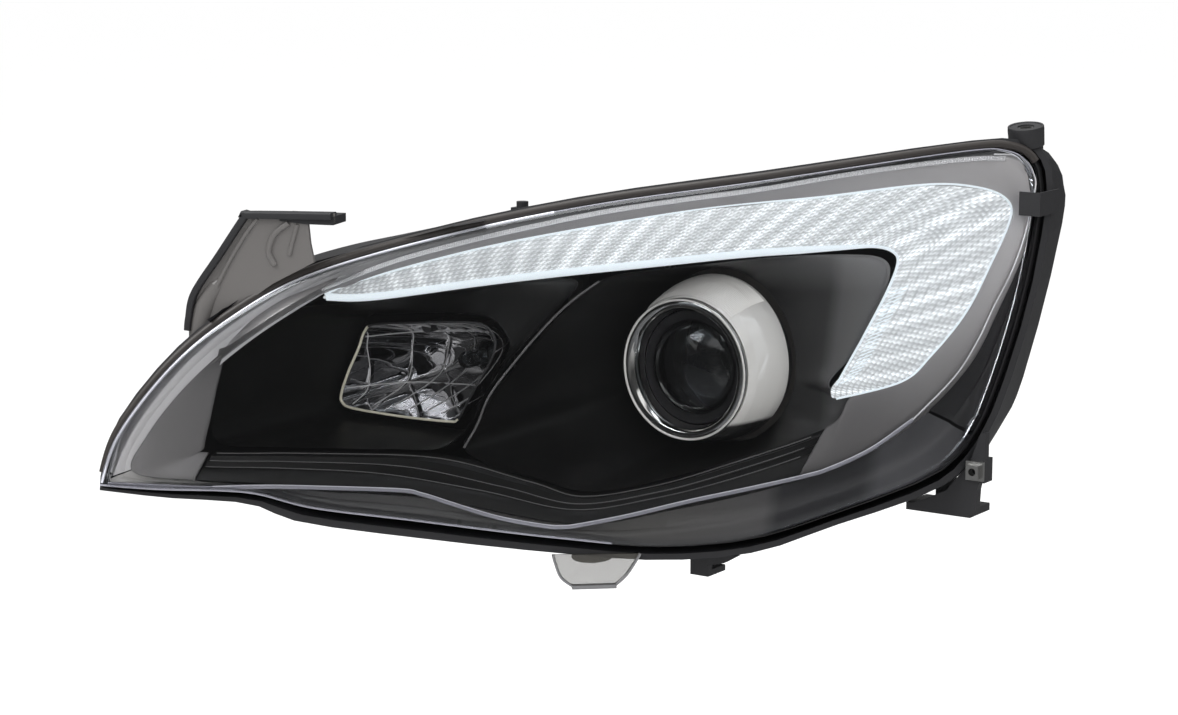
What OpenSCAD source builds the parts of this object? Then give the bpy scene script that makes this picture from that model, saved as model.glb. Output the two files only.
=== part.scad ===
// Left-hand car headlight assembly with a projector low beam, a reflector high beam and a
// daytime-running light guide. Modelled in car axes: +X outboard, -Y forward along the
// lamp's optical axis, +Z up. Drawn from the lens's inner tip, then shifted so that the
// frame's origin is the bore of the upper outer mounting ear.

/* [Lens and housing] */
// Wall of the clear outer lens
lens_wall = 3; // [2.5:0.5:3.5]
// Wall of the rear housing
housing_wall = 3; // [2.5:0.5:3.5]
// Depth of the lens's glued skirt behind its front face
skirt_depth = 14; // [12:1:16]
// Rear wall of the housing, behind the lens tip
rear_wall_y = 397; // [394:1:398]

/* [Low beam projector] */
// Outside radius of the chrome ring
ring_r = 47.5; // [46:0.5:48]
// Radius of the glass projector lens
glass_r = 33; // [32:0.5:33]
// Bulb access bore of the low beam
low_bore_r = 41; // [40:0.5:42]

/* [High beam] */
// Bulb access bore of the high beam
high_bore_r = 31; // [30:0.5:32]

/* [Mounting] */
// Radius of the screw bore in the upper outer ear
ear_bore_r = 4.25; // [3.5:0.25:4.5]
// Radius of the holes in the arm, tab and lower brackets
bracket_bore_r = 3.5; // [3:0.25:4]

/* [Hidden] */
$fn = 64;

plastic_black = [0.10, 0.10, 0.11];
plastic_grey = [0.30, 0.29, 0.29];
bezel_black = [0.05, 0.05, 0.055];
chrome = [0.85, 0.85, 0.86];
rubber_black = [0.06, 0.06, 0.06];
clear_blue = [0.85, 0.90, 0.95, 0.35];

// ---- Driving places, from the lens tip, in mm
datum = [449, 436, 219];          // bore of the upper outer ear
proj = [292, 250, 67];            // centre of the chrome ring's front plane
high = [146, 230, 66];            // apex of the high beam reflector
pivot = [190, 284, 132];          // fixed ball of the aiming gimbal
aim_arm = 72;                     // aim stud, outboard of the pivot
level_arm = 122;                  // leveling plunger, below the pivot
indicator = [414, rear_wall_y, 112];
high_wall_y = 300;                // rear wall behind the high beam
fit_gap = 0.05;                   // radial running clearance
ball_gap = 0.3;                   // around the aiming balls

// ---- Curves and surfaces
function lerp(a, b, t) = a + (b - a) * t;
function ease(t) = t * t * (3 - 2 * t);
// Depth of the lens's outer surface behind its tip: swept back outboard, raked back upward
function sweep(x) = 0.42 * x + 195 * pow(max(x, 0) / 480, 2.5);
function rake(z) = 0.12 * z + (z > 0 ? 0.00085 * z * z : 0);
function face(x, z) = sweep(x) + rake(z);
function on_face(p, back) = [p[0], face(p[0], p[1]) + back, p[1]];

function knots(p0, p1, p2, p3, t) =
    0.5 * (2 * p1 + (p2 - p0) * t + (2 * p0 - 5 * p1 + 4 * p2 - p3) * t * t
        + (3 * p1 - p0 - 3 * p2 + p3) * t * t * t);
// A smooth curve through points, open or closed, at u from 0 to 1
function spline(p, u) = let (n = len(p) - 1, s = min(max(u, 0), 0.99999) * n, i = floor(s))
    knots(p[max(i - 1, 0)], p[i], p[i + 1], p[min(i + 2, n)], s - i);
function loop(p, u) = let (n = len(p), s = (u % 1) * n, i = floor(s))
    knots(p[(i + n - 1) % n], p[i], p[(i + 1) % n], p[(i + 2) % n], s - i);
function table_at(t, x) = lookup(x, t);

// Perimeter of the clear lens, upper and lower edge from tip to outer end, as [x, z]
lens_top = [[0, 1], [9, 33], [36, 76], [67, 108], [110, 137], [184, 163], [256, 181],
    [335, 194], [422, 209], [446, 209], [458, 198], [463, 178]];
lens_bottom = [[0, -2], [37, -3], [90, -3], [129, -12], [189, -20], [262, -32], [309, -39],
    [350, -37], [383, -26], [428, -5], [444, 12], [452, 34]];
// Perimeter of the housing's flange, which carries the lens
rim_top = [[-4, 3], [3, 37], [30, 81], [62, 114], [107, 143], [182, 169], [255, 187],
    [335, 200], [424, 215], [452, 214], [465, 200], [470, 178]];
rim_bottom = [[-4, -6], [37, -9], [88, -11], [119, -22], [189, -32], [257, -42], [309, -49],
    [354, -47], [389, -33], [434, -14], [451, 7], [460, 34]];
function bulge(u) = 5 * pow(u, 8);
// A point of the lamp's outline: k = 0 on the lens's edge, k = 1 on the housing's flange
function outline(u, v, k) = lerp(lerp(spline(lens_bottom, u), spline(lens_top, u), v),
    lerp(spline(rim_bottom, u), spline(rim_top, u), v), k) + [bulge(u) * 4 * v * (1 - v), 0];
// Plan line of the housing's rear: it runs back from the tip, behind the high beam, to the rear wall
rear_line = [[-4, 14], [8, 52], [40, 118], [80, 225], [98, 288], [106, high_wall_y],
    [206, high_wall_y], [212, 310], [222, 390], [230, rear_wall_y], [480, rear_wall_y]];
function rear(x, z) = max(lookup(x, rear_line), face(x, z) + 34);

// ---- Solids from grids and loops of points
function grid_faces(n, m, start, flip) = [for (i = [0:n - 1], j = [0:m - 1])
    let (a = start + i * (m + 1) + j, b = a + 1, c = a + m + 2, d = a + m + 1,
        quad = [[a, b, c], [a, c, d]]) for (t = quad) flip ? [t[2], t[1], t[0]] : t];
function edge_index(n, m) = concat([for (i = [0:n]) i * (m + 1)],
    [for (j = [1:m]) n * (m + 1) + j], [for (i = [n - 1:-1:0]) i * (m + 1) + m],
    [for (j = [m - 1:-1:1]) j]);
function band(a, b) = [for (k = [0:len(a) - 1]) let (l = (k + 1) % len(a))
    for (t = [[a[k], b[l], a[l]], [a[k], b[k], b[l]]]) t];
function edge_of(grid) = let (m = len(grid[0]) - 1) [for (k = edge_index(len(grid) - 1, m))
    grid[floor(k / (m + 1))][k % (m + 1)]];
// A plate between two grids of points with the same layout, the rear-facing one first. Loops
// of points given as tails lead from the first grid's edge to the second's, and make a skirt.
module plate(first, second, tails = []) {
    n = len(first) - 1;
    m = len(first[0]) - 1;
    size = (n + 1) * (m + 1);
    edge = edge_index(n, m);
    count = len(edge);
    rings = concat([edge], [for (i = [0:len(tails) - 1]) [for (k = [0:count - 1])
        2 * size + i * count + k]], [[for (e = edge) e + size]]);
    polyhedron(concat([for (row = concat(first, second)) for (p = row) p], [for (t = tails)
        for (p = t) p]), concat(grid_faces(n, m, 0, true), grid_faces(n, m, size, false),
        [for (i = [0:len(rings) - 2]) for (t = band(rings[i], rings[i + 1])) t]));
}
// A ring whose cross-section is drawn by closed loops of points, first to last and back
module ring_solid(loops) {
    n = len(loops);
    m = len(loops[0]);
    polyhedron([for (l = loops) for (p = l) p],
        [for (i = [0:n - 1], j = [0:m - 1])
            let (a = i * m + j, b = i * m + (j + 1) % m, c = ((i + 1) % n) * m + (j + 1) % m,
                d = ((i + 1) % n) * m + j)
            for (t = [[a, b, c], [a, c, d]]) t]);
}
// A round bar along a list of points, with square-cut ends
function unit(v) = v / norm(v);
function heading(path, i) = unit(path[min(i + 1, len(path) - 1)] - path[max(i - 1, 0)]);
function side_of(d) = unit(cross(d, abs(d[2]) < 0.8 ? [0, 0, 1] : [1, 0, 0]));
module bar(path, r, sides = 8) {
    n = len(path);
    points = [for (i = [0:n - 1]) let (d = heading(path, i), s = side_of(d), t = cross(s, d))
        for (k = [0:sides - 1]) path[i] + r * (cos(360 * k / sides) * s + sin(360 * k / sides) * t)];
    walls = [for (i = [0:n - 2], k = [0:sides - 1])
        let (a = i * sides + k, b = i * sides + (k + 1) % sides)
        for (t = [[a, b, a + sides], [b, b + sides, a + sides]]) t];
    polyhedron(points, concat([[for (k = [sides - 1:-1:0]) k]], walls,
        [[for (k = [0:sides - 1]) (n - 1) * sides + k]]));
}
// Children drawn along local +Z run rearward along +Y from a place
module along_y(place) translate(place) rotate([-90, 0, 0]) children();
module tube(r_out, r_in, h) difference() {
    cylinder(r = r_out, h = h);
    translate([0, 0, -1]) cylinder(r = r_in, h = h + 2);
}

// ---- Housing
housing_n = 30;
// Cross-section of the housing: depth from its front edge to its rear, and height
section = [[0, 0], [0.25, 0.006], [0.5, 0.015], [0.72, 0.03], [0.88, 0.06], [0.96, 0.105],
    [1, 0.18], [1, 0.4], [1, 0.6], [1, 0.82], [0.96, 0.895], [0.88, 0.94], [0.72, 0.97],
    [0.5, 0.985], [0.25, 0.994], [0, 1]];
function housing_point(u, w, v, k, wall) = let (p = outline(u, v, k), front = face(p[0], p[1]) + 6)
    [p[0], (u <= 0 || u >= 1) ? front : lerp(front, rear(p[0], p[1]) - wall, w), p[1]];
function housing_grid(k, wall) = [for (i = [0:housing_n]) [for (s = section)
    housing_point(i / housing_n, s[0], s[1], k, wall)]];

low_turret_r = low_bore_r + 3.5;
high_turret_r = high_bore_r + 3.5;
turret_len = 15;
holder_bore_r = 15;
motor_bore_r = 12;
aim_bore_r = 5;
aim_place = [pivot[0] + aim_arm, rear_wall_y, pivot[2]];
motor_place = [pivot[0], high_wall_y, pivot[2] - level_arm];
stud_place = [pivot[0], high_wall_y, pivot[2]];
low_place = [proj[0], rear_wall_y, proj[2]];
high_place = [high[0], high_wall_y, high[2]];
vent_place = [352, rear_wall_y, 150];
socket_place = [352, rear_wall_y, 8];
screw_places = [[236, rear_wall_y, 34], [350, rear_wall_y, 100], [114, high_wall_y, 112]];

module ear_frame() translate(datum) rotate([10, 0, 0]) children();
module turret(place, r_out, h, root) translate([0, -root, 0]) along_y(place)
    cylinder(r = r_out, h = h + root);
module bore(place, r) translate([0, -20, 0]) along_y(place) cylinder(r = r, h = 60);
module housing() color(plastic_black) difference() {
    union() {
        plate(housing_grid(1, 0), housing_grid(0.6, housing_wall));
        turret(low_place, low_turret_r, turret_len, 2.9);
        turret(high_place, high_turret_r, turret_len, 2.9);
        turret(indicator, holder_bore_r + 3, 6, 2.9);
        turret(motor_place, motor_bore_r + 3, 3, 2.9);
        turret(aim_place, aim_bore_r + 4, 4, 6);
        turret(stud_place, 8, 3, 8);
        ear_frame() translate([0, 0, -9]) cylinder(r = 12, h = 13);
        translate(datum + [-9, 1, -28]) cube([16, 12, 22]);
        translate([188, 213, 156]) cylinder(r = 6, h = 14);
        arm_plane() translate([-22, 4.05, 90]) cube([10, 12, 22]);
        translate([420, 370, -28.95]) cube([14, 12, 16]);
        translate([312, 236, -49.95]) cube([26, 18, 5]);
    }
    bore(low_place, low_bore_r);
    bore(high_place, high_bore_r);
    bore(indicator, holder_bore_r);
    bore(motor_place, motor_bore_r);
    bore(aim_place, aim_bore_r);
    bore(vent_place, 6);
    bore(stud_place, 3.2 + fit_gap);
    for (p = screw_places) bore(p, 2 + fit_gap);
    translate(socket_place + [-16, -20, -9]) cube([32, 60, 18]);
    ear_frame() translate([0, 0, -40]) cylinder(r = ear_bore_r + 1.5, h = 60);
}
module ear_sleeve() color(chrome) ear_frame() translate([0, 0, -8]) difference() {
    cylinder(r = ear_bore_r + 1.5 - fit_gap, h = 11);
    translate([0, 0, -1]) cylinder(r = ear_bore_r, h = 13);
}

// ---- Clear lens and its seal
lens_n = 26;
lens_m = 10;
function lens_point(u, v, k, back) = on_face(outline(u, v, k), back);
function lens_grid(k, back) = [for (i = [0:lens_n]) [for (j = [0:lens_m])
    lens_point(i / lens_n, j / lens_m, k * abs(2 * max(abs(i / lens_n - 0.5),
        abs(j / lens_m - 0.5))), back)]];
function pushed(edge, d) = [for (p = edge) [p[0], face(p[0], p[2]) + d, p[2]]];
tab = [[-20, -30.5], [-19.9, -43.2], [-14.7, -58.1], [-6.9, -64.3], [21.9, -64.5], [29.7, -57.4],
    [38.9, -42.9], [36, -36.5]];
module tab_plane() translate([273, 159, 0]) rotate([0, 0, 40.5]) children();
module outer_lens() color(clear_blue) {
    front = lens_grid(0, 0);
    back = lens_grid(-0.4, lens_wall);
    plate(back, front, [pushed(edge_of(back), skirt_depth), pushed(edge_of(front), skirt_depth)]);
    tab_plane() difference() {
        translate([0, 2.8, 0]) rotate([90, 0, 0]) linear_extrude(3) polygon(tab);
        for (x = [-3, 16.6]) translate([x, -5, -47]) rotate([-90, 0, 0]) cylinder(r = 3, h = 20);
        translate([-3, -5, -50]) cube([19.6, 20, 6]);
    }
}
function seal_loop(k, back) = edge_of([for (i = [0:lens_n]) [for (j = [0:lens_m])
    lens_point(i / lens_n, j / lens_m, k, back)]]);
module lens_seal() color(rubber_black) ring_solid([seal_loop(0.09, 8), seal_loop(0.09, 12.2),
    seal_loop(0.17, 12.2), seal_loop(0.17, 8.5)]);
function edge_line(n, k, back, u0, u1) = [for (i = [0:n])
    lens_point(lerp(u0, u1, i / n), 1, k, back)];
module top_weatherstrip() color(rubber_black) bar(edge_line(30, 0.48, 2.9, 0.09, 0.89), 1.9);

// ---- Trim behind the lens. Each ring lists its points round the lamp, as [x, z]
frame_outer = [[8, 4], [14, 32], [38, 70], [70, 102], [113, 131], [150, 147], [186, 158],
    [222, 167], [258, 176], [296, 183], [335, 189], [380, 198], [424, 204], [445, 204],
    [454, 194], [458, 174], [458, 140], [454, 105], [450, 70], [445, 40], [436, 14],
    [422, 3], [383, -17], [350, -28], [309, -31], [262, -24], [189, -13], [129, -5],
    [90, 2], [40, 2]];
frame_inner = [[44, 21], [50, 42], [55, 70], [66, 98], [112, 125], [142, 137], [170, 146],
    [198, 154], [228, 162], [260, 168], [300, 176], [345, 184], [400, 189], [428, 187],
    [444, 180], [452, 166], [449, 140], [440, 102], [428, 78], [420, 62], [412, 50],
    [400, 34], [368, 17], [328, 8], [296, -3], [262, -8], [236, 2], [186, 18],
    [120, 20], [80, 20]];
frame_n = 76;
function frame_ring(t, back) = [for (i = [0:frame_n - 1])
    on_face(lerp(loop(frame_outer, i / frame_n), loop(frame_inner, i / frame_n), t), back)];
module decor_frame() color(plastic_grey) ring_solid([frame_ring(0, 7), frame_ring(0.4, 10),
    frame_ring(1, 17), frame_ring(1, 19.5), frame_ring(0.4, 12.5), frame_ring(0, 9.5)]);

high_rim = [[57, 79], [70, 101], [92, 112], [130, 117], [165, 122], [196, 126], [228, 131],
    [243, 128], [238, 115], [228, 100], [215, 79], [203, 56], [198, 40], [186, 24],
    [158, 23], [125, 23], [90, 23], [60, 24], [52, 36], [53, 56]];
high_rim_back = [23, 23, 22, 22, 22, 22, 22, 28, 29, 29, 29, 29, 29, 24, 23, 23, 23, 23, 23, 23];
high_mouth = [[86.4, 79.4], [96.5, 97.5], [118, 101], [142, 104], [165, 106], [188, 107], [204, 104],
    [215, 91], [211, 79.5], [205.2, 69.4], [198.2, 57.4], [190.2, 44.4], [183.8, 33.8], [175, 28],
    [150, 28], [130, 28], [106, 28], [80, 29], [70, 38], [75, 56]];
mouth_y = 160;
low_rim = [[243, 116], [254, 128], [268, 134], [300, 138], [340, 142], [374, 142], [392, 138],
    [396, 124], [390, 98], [384, 76], [376, 58], [392, 44], [388, 24], [350, 13],
    [318, 6], [286, -3], [262, -5], [240, 3], [214, 12], [196, 24], [203, 40], [208, 57],
    [220, 79], [233, 101]];
low_rim_back = [30, 29, 23, 23, 23, 23, 23, 23, 23, 23, 23, 23, 23, 23, 23, 23, 23, 23, 24, 28,
    30, 30, 30, 30];
well_r = 57.5;
well_y = 297;
bezel_wall = 2.4;
function pocket_ring(rim, depth, mouth, y, n, t, wall) = [for (i = [0:n - 1]) let (
    a = loop(rim, i / n), b = loop(mouth, i / n), d = loop([for (q = depth) [q, 0]], i / n)[0],
    p = lerp(a, b, pow(t, 1.3)) + wall * min(1, 2 * t) * unit(a - b))
    [p[0], lerp(face(a[0], a[1]) + d, y, pow(t, 0.8)) + wall * (t < 0.1 ? 1 : 0.6), p[1]]];
module pocket(rim, depth, mouth, y, n) ring_solid([for (t = [0, 0.3, 0.65, 1])
    pocket_ring(rim, depth, mouth, y, n, t, 0), for (t = [1, 0.65, 0.3, 0])
    pocket_ring(rim, depth, mouth, y, n, t, bezel_wall)]);
function round_mouth(rim, place, r) = [for (p = rim) [place[0], place[2]]
    + r * unit(p - [place[0], place[2]])];
module high_beam_bezel() color(bezel_black) pocket(high_rim, high_rim_back, high_mouth, mouth_y, 60);
module projector_bezel() color(bezel_black)
    pocket(low_rim, low_rim_back, round_mouth(low_rim, [294, 0, 68], well_r), well_y, 72);

// ---- Daytime-running light: guide, reflector and LED board, and the indicator bowl
guide_top = [[113, 122], [131, 131], [192, 151], [251, 165], [308, 176], [360, 181], [408, 187],
    [432, 184], [446, 176], [450, 163], [445, 134], [437, 102], [424, 75], [412, 59], [383, 50]];
guide_under = [[113, 119], [140, 120], [196, 129], [239, 135], [283, 140], [330, 145], [374, 147],
    [390, 147], [399, 143], [402, 135], [399, 116], [392, 90], [386, 70], [380, 58], [380, 52]];
function guide_grid(n, m, u0, u1, v0, v1, back) = [for (i = [0:n]) [for (j = [0:m])
    let (u = lerp(u0, u1, i / n), v = lerp(v0, v1, j / m))
    on_face(lerp(spline(guide_under, u), spline(guide_top, u), v), back - 2 * sin(180 * v))]];
module guide_plate(n, m, u0, u1, v0, v1, back, wall)
    plate(guide_grid(n, m, u0, u1, v0, v1, back + wall), guide_grid(n, m, u0, u1, v0, v1, back));
module drl_light_guide() color(clear_blue) guide_plate(44, 6, 0, 1, 0, 1, 17, 5);
module drl_reflector() color(chrome) guide_plate(30, 4, 0.02, 0.66, 0.04, 0.96, 27, 1.5);
module drl_led_board() color([0.1, 0.35, 0.15]) guide_plate(30, 2, 0.06, 0.64, 0.3, 0.7, 31, 1.6);
bowl_rim = [[402, 128], [418, 134], [434, 136], [436, 124], [432, 104], [424, 84], [414, 68],
    [402, 62], [389, 66], [391, 78], [397, 96], [400, 112]];
module indicator_reflector() color(chrome)
    pocket(bowl_rim, [for (p = bowl_rim) 25.5], round_mouth(bowl_rim, indicator, 11), 386, 40);

// ---- Brackets
arm = [[-36, 105.7], [-30.5, 124.5], [6.1, 176.4], [67.2, 178], [67.2, 171.5], [49.3, 170.4],
    [49.3, 154], [24.2, 139.5], [-3, 121], [-30, 97.5], [-36.4, 93]];
module arm_plane() translate([70, 60, 0]) rotate([0, 0, 17]) children();
module inner_arm_bracket() color(plastic_grey) difference() {
    arm_plane() union() {
        translate([0, 4, 0]) rotate([90, 0, 0]) linear_extrude(4) polygon(arm);
        translate([-2, 3.9, 168]) rotate([0, 55, 0]) cube([39, 10, 3]);
        translate([30, 0, 170.6]) cube([37.2, 26, 5.5]);
    }
    arm_plane() translate([50, 16, 150]) cylinder(r = bracket_bore_r, h = 40);
}
lower_arm = [[404, -31], [404, -34], [432, -34], [456, -31], [457, -14], [462, 8], [462, 25],
    [458.5, 25], [451, 4], [434, -17], [418, -25]];
module lower_outer_bracket() color(plastic_black) difference() {
    union() {
        translate([0, 364, 0]) rotate([90, 0, 0]) linear_extrude(6) polygon(lower_arm);
        translate([404, 358, -34]) cube([48, 30, 5]);
        translate([451.5, 358, -9]) cube([10.5, 12, 16]);
    }
    translate([455.5, 350, -1]) rotate([-90, 0, 0]) cylinder(r = bracket_bore_r, h = 50);
    translate([442, 376, -40]) cylinder(r = bracket_bore_r, h = 20);
}
module clip_nut() color(chrome) difference() {
    union() {
        translate([449, 355.9, -7.5]) cube([13, 2, 13]);
        translate([451, 352, -5.5]) cube([9, 4, 9]);
    }
    translate([455.5, 340, -1]) rotate([-90, 0, 0]) cylinder(r = 2.6, h = 30);
}
hook = [[308, -50], [308, -67], [322, -66], [322, -59], [334, -56], [344, -50]];
module bottom_hook_bracket() color(plastic_black) difference() {
    union() {
        translate([0, 240, 0]) rotate([90, 0, 0]) linear_extrude(5) polygon(hook);
        translate([308, 235, -67]) cube([14, 22, 4]);
        translate([312, 235, -65]) cube([4, 8, 15]);
    }
    translate([315, 248, -80]) cylinder(r = bracket_bore_r, h = 20);
}
module top_clip() color(plastic_black) {
    translate([182, 208, 170.05]) cube([12, 10, 2.5]);
    translate([188, 213, 172]) cylinder(r = 4, h = 4.5);
}
module lens_clips() color(chrome) {
    translate([459, 406.5, 166]) cube([15.5, 1.4, 16]);
    translate([473, 406.5, 166]) cube([1.5, 30, 16]);
}
module screw(place) along_y(place) union() {
    cylinder(r = 4, h = 2.5);
    translate([0, 0, -9]) cylinder(r = 2, h = 9.5);
}
module housing_screws() color(chrome) for (p = screw_places) screw(p);

// ---- Rear of the housing: electrics
module driver_module() color([0.55, 0.56, 0.57]) difference() {
    union() {
        translate([238, rear_wall_y, -14]) cube([62, 16, 32]);
        translate([246, rear_wall_y + 16, -9]) cube([46, 4, 22]);
    }
    for (i = [0:5]) translate([249.5 + 7 * i, rear_wall_y + 17, -12]) cube([3.5, 4, 28]);
}
module main_connector() color(bezel_black) translate(socket_place) difference() {
    union() {
        translate([-20, 0, -13]) cube([40, 3, 26]);
        translate([-15.9, -8, -8.9]) cube([31.8, 30, 17.8]);
    }
    translate([-14, 3, -7]) cube([28, 30, 14]);
}
module connector_pins() color([0.8, 0.7, 0.4]) for (i = [-2:2], j = [-1, 1])
    translate(socket_place + [5 * i - 0.6, 3.05, 3.2 * j - 0.6]) cube([1.2, 8, 1.2]);
module vent_elbows() color(rubber_black) {
    turret(vent_place, 6 - fit_gap, 14, 3);
    translate(vent_place + [0, 10, -16]) cylinder(r = 5, h = 14);
}
module leveling_motor() color(bezel_black) difference() {
    union() {
        turret(motor_place, motor_bore_r - 0.1, 6, 4);
        translate(motor_place + [-22, 3.2, -26]) cube([35, 38, 40]);
        translate(motor_place + [-19, 41.2, -22]) cube([32, 5, 32]);
    }
    translate([0, -20, 0]) along_y(motor_place) cylinder(r = 5, h = 46);
    translate(motor_place + [8, 28, 2]) rotate([-90, 0, 0]) cylinder(r = 3 + fit_gap, h = 30);
}
module motor_connector() color([0.2, 0.2, 0.22]) translate(motor_place + [-9, 14, -40]) difference() {
    cube([18, 13, 14]);
    translate([1.5, 1.5, -1]) cube([15, 10, 11]);
}

// ---- Aiming gimbal: the pivot ball is fixed, the socket yaws on it, the carrier tilts on that
ball_r = 6;
cup_r = 9;
module ball(p, r) translate(p) sphere(r);
module pivot_stud() color(chrome) union() {
    ball(pivot, ball_r);
    translate(pivot) rotate([-90, 0, 0]) cylinder(r = 3.2, h = 22);
    translate([pivot[0], high_wall_y + 3.05, pivot[2]]) rotate([-90, 0, 0]) cylinder(r = 6, h = 5, $fn = 6);
}
module pivot_socket() color([0.9, 0.9, 0.88]) difference() {
    along_y(pivot) sphere(cup_r);
    along_y(pivot) sphere(ball_r + ball_gap);
    along_y(pivot) cylinder(r = 5.4, h = 20);
}
hoop_y = 262;
post_roots = [204.5, 189.7, 199.9, 194.9];
module strut(a, b, r) translate(a) rotate([0, acos((b - a)[2] / norm(b - a)),
    atan2((b - a)[1], (b - a)[0])]) cylinder(r = r, h = norm(b - a));
module carrier_frame() color([0.24, 0.24, 0.25]) difference() {
    union() {
        along_y([high[0], hoop_y, high[2]]) cylinder(r = 40, h = 6);
        translate([184, 273, 6]) cube([12, 8, 126]);
        translate([178, 262, 48]) cube([18, 14, 36]);
        translate([190, 274, 129]) cube([72, 7, 9]);
        translate([255.5, 280, 128.5]) cube([11, 34, 9.5]);
        translate([0, 4, 0]) turret(pivot, 13, 0, 12);
        translate([0, 4, 0]) turret([pivot[0] + aim_arm, pivot[1], pivot[2]], 6.5, 0, 7.2);
        translate([0, 4, 0]) turret([pivot[0], pivot[1], motor_place[2]], 9, 0, 12);
        along_y([proj[0], 308, proj[2]]) cylinder(r = 62, h = 6);
        strut([192, 277, 28], [240, 311, 38], 4.5);
    }
    along_y([high[0], 250, high[2]]) cylinder(r = 24, h = 22);
    along_y([proj[0], 300, proj[2]]) cylinder(r = 46.5, h = 20);
    ball(pivot, cup_r + ball_gap);
    ball([pivot[0] + aim_arm, pivot[1], pivot[2]], 5 + ball_gap);
    ball([pivot[0], pivot[1], motor_place[2]], 5 + ball_gap);
    turret(pivot + [0, 20, 0], 7.5, 0, 18);
    turret([pivot[0] + aim_arm, pivot[1] + 36, pivot[2]], 4.6, 0, 34);
    turret([pivot[0], pivot[1] + 20, motor_place[2]], 4.6, 0, 18);
}
module level_plunger() color([0.9, 0.9, 0.88]) {
    ball([motor_place[0], pivot[1], motor_place[2]], 5);
    translate([motor_place[0], pivot[1], motor_place[2]]) rotate([-90, 0, 0]) cylinder(r = 3, h = 16);
    translate([motor_place[0], pivot[1] + 14, motor_place[2]]) rotate([-90, 0, 0])
        cylinder(r = 5 - fit_gap, h = 24);
}
module level_adjuster() color([0.9, 0.9, 0.88]) {
    translate(motor_place + [8, 46.3, 2]) rotate([-90, 0, 0]) cylinder(r = 7, h = 6, $fn = 12);
    translate(motor_place + [8, 30, 2]) rotate([-90, 0, 0]) cylinder(r = 3, h = 17);
}
module aim_stud() color(chrome) {
    ball([aim_place[0], pivot[1], aim_place[2]], 5);
    translate([aim_place[0], pivot[1], aim_place[2]]) rotate([-90, 0, 0]) cylinder(r = 3, h = 108);
}
module aim_adjuster() color([0.9, 0.9, 0.88]) difference() {
    union() {
        translate(aim_place + [0, -10, 0]) rotate([-90, 0, 0]) cylinder(r = aim_bore_r - fit_gap, h = 16);
        translate(aim_place + [0, 4.4, 0]) rotate([-90, 0, 0]) cylinder(r = 10, h = 7, $fn = 12);
    }
    translate(aim_place + [0, -12, 0]) rotate([-90, 0, 0]) cylinder(r = 3 + fit_gap, h = 20);
}

// ---- Low beam projector
module turned(place, profile) along_y(place) rotate_extrude() polygon(profile);
module projector_ring() color(chrome) turned(proj, [[ring_r, 2.5], [ring_r - 1.2, 0.6],
    [ring_r - 3.2, 0], [42, 0.8], [40.2, 3], [38.5, 14], [40.2, 14], [42, 4.6],
    [44.5, 3], [ring_r - 1, 4], [ring_r, 4]]);
module projector_lens() color(clear_blue) turned(proj, [[0, 0.5], [9, 1.1], [17, 3.2], [24, 7.2],
    [29, 12], [31, 15.5], [glass_r, 16.5], [glass_r, 20], [0, 20]]);
module lens_retainer() color(bezel_black) turned(proj, [[31.4, 13.5], [38.2, 13.5], [38.2, 22],
    [35.8, 22], [glass_r + 0.6, 20.1], [glass_r + 0.4, 16.2], [31.4, 15.3]]);
module lens_holder() color([0.25, 0.25, 0.26]) turned(proj, [[30, 20.2], [glass_r + 0.2, 20.2],
    [35.4, 22.1], [38.2, 22.1], [44, 50], [50, 52], [50, 57.95], [46.4, 57.95],
    [46.4, 68], [41, 68], [41, 52], [30, 24]]);
module projector_shroud() color(chrome) turned(proj, [[48, 4.3], [50.5, 12], [52.5, 24],
    [53.5, 38], [53.5, 46], [52, 46], [51, 30], [48.6, 14], [46.6, 5.2]]);
module cutoff_shield() color([0.6, 0.6, 0.6]) difference() {
    along_y(proj + [0, 62, 0]) cylinder(r = 40.8, h = 1.5);
    translate(proj + [-60, 55, 0]) cube([120, 20, 60]);
    translate(proj + [-60, 55, -2]) rotate([0, 15, 0]) cube([60, 20, 20]);
}
module projector_reflector() color(chrome) turned(proj, [[41.2, 68.1], [46, 68.1], [46, 71],
    [43, 71], [41, 86], [36, 104], [28, 118], [17, 128], [11.5, 130], [11.5, 134], [9.6, 134],
    [9.6, 128], [16, 125.8], [26.4, 116], [34, 103], [39, 85.6], [41.2, 71]]);
module bulb(place, neck) along_y(place) rotate_extrude() polygon([[0, 0], [3.4, 0.8], [5.4, 3.4],
    [6, 7], [6, neck - 4], [8, neck], [8, neck + 4], [0, neck + 4]]);
module low_beam_bulb() color(clear_blue) union() {
    bulb([proj[0], proj[1] + 90, proj[2]], 37);
    along_y([proj[0], proj[1] + 134.1, proj[2]]) cylinder(r = 13, h = 1.6);
    along_y([proj[0], proj[1] + 130, proj[2]]) cylinder(r = 8, h = 10);
}
module plug(place) difference() {
    translate(place + [-10, 0, -11]) cube([20, 16, 22]);
    translate(place + [-5, 12, -9]) cube([10, 10, 18]);
}
module low_bulb_plug() color(bezel_black) plug([proj[0], proj[1] + 140.1, proj[2]]);
module clip_wire(place, half, drop) color(chrome) bar([place + [-half, 0, -drop],
    place + [-half, 0, drop - 4], place + [-half + 4, 0.4, drop], place + [half - 4, 0.4, drop],
    place + [half, 0, drop - 4], place + [half, 0, -drop]], 0.8, 8);
module low_bulb_clip() clip_wire([proj[0], proj[1] + 136.7, proj[2]], 14, 15);

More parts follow.
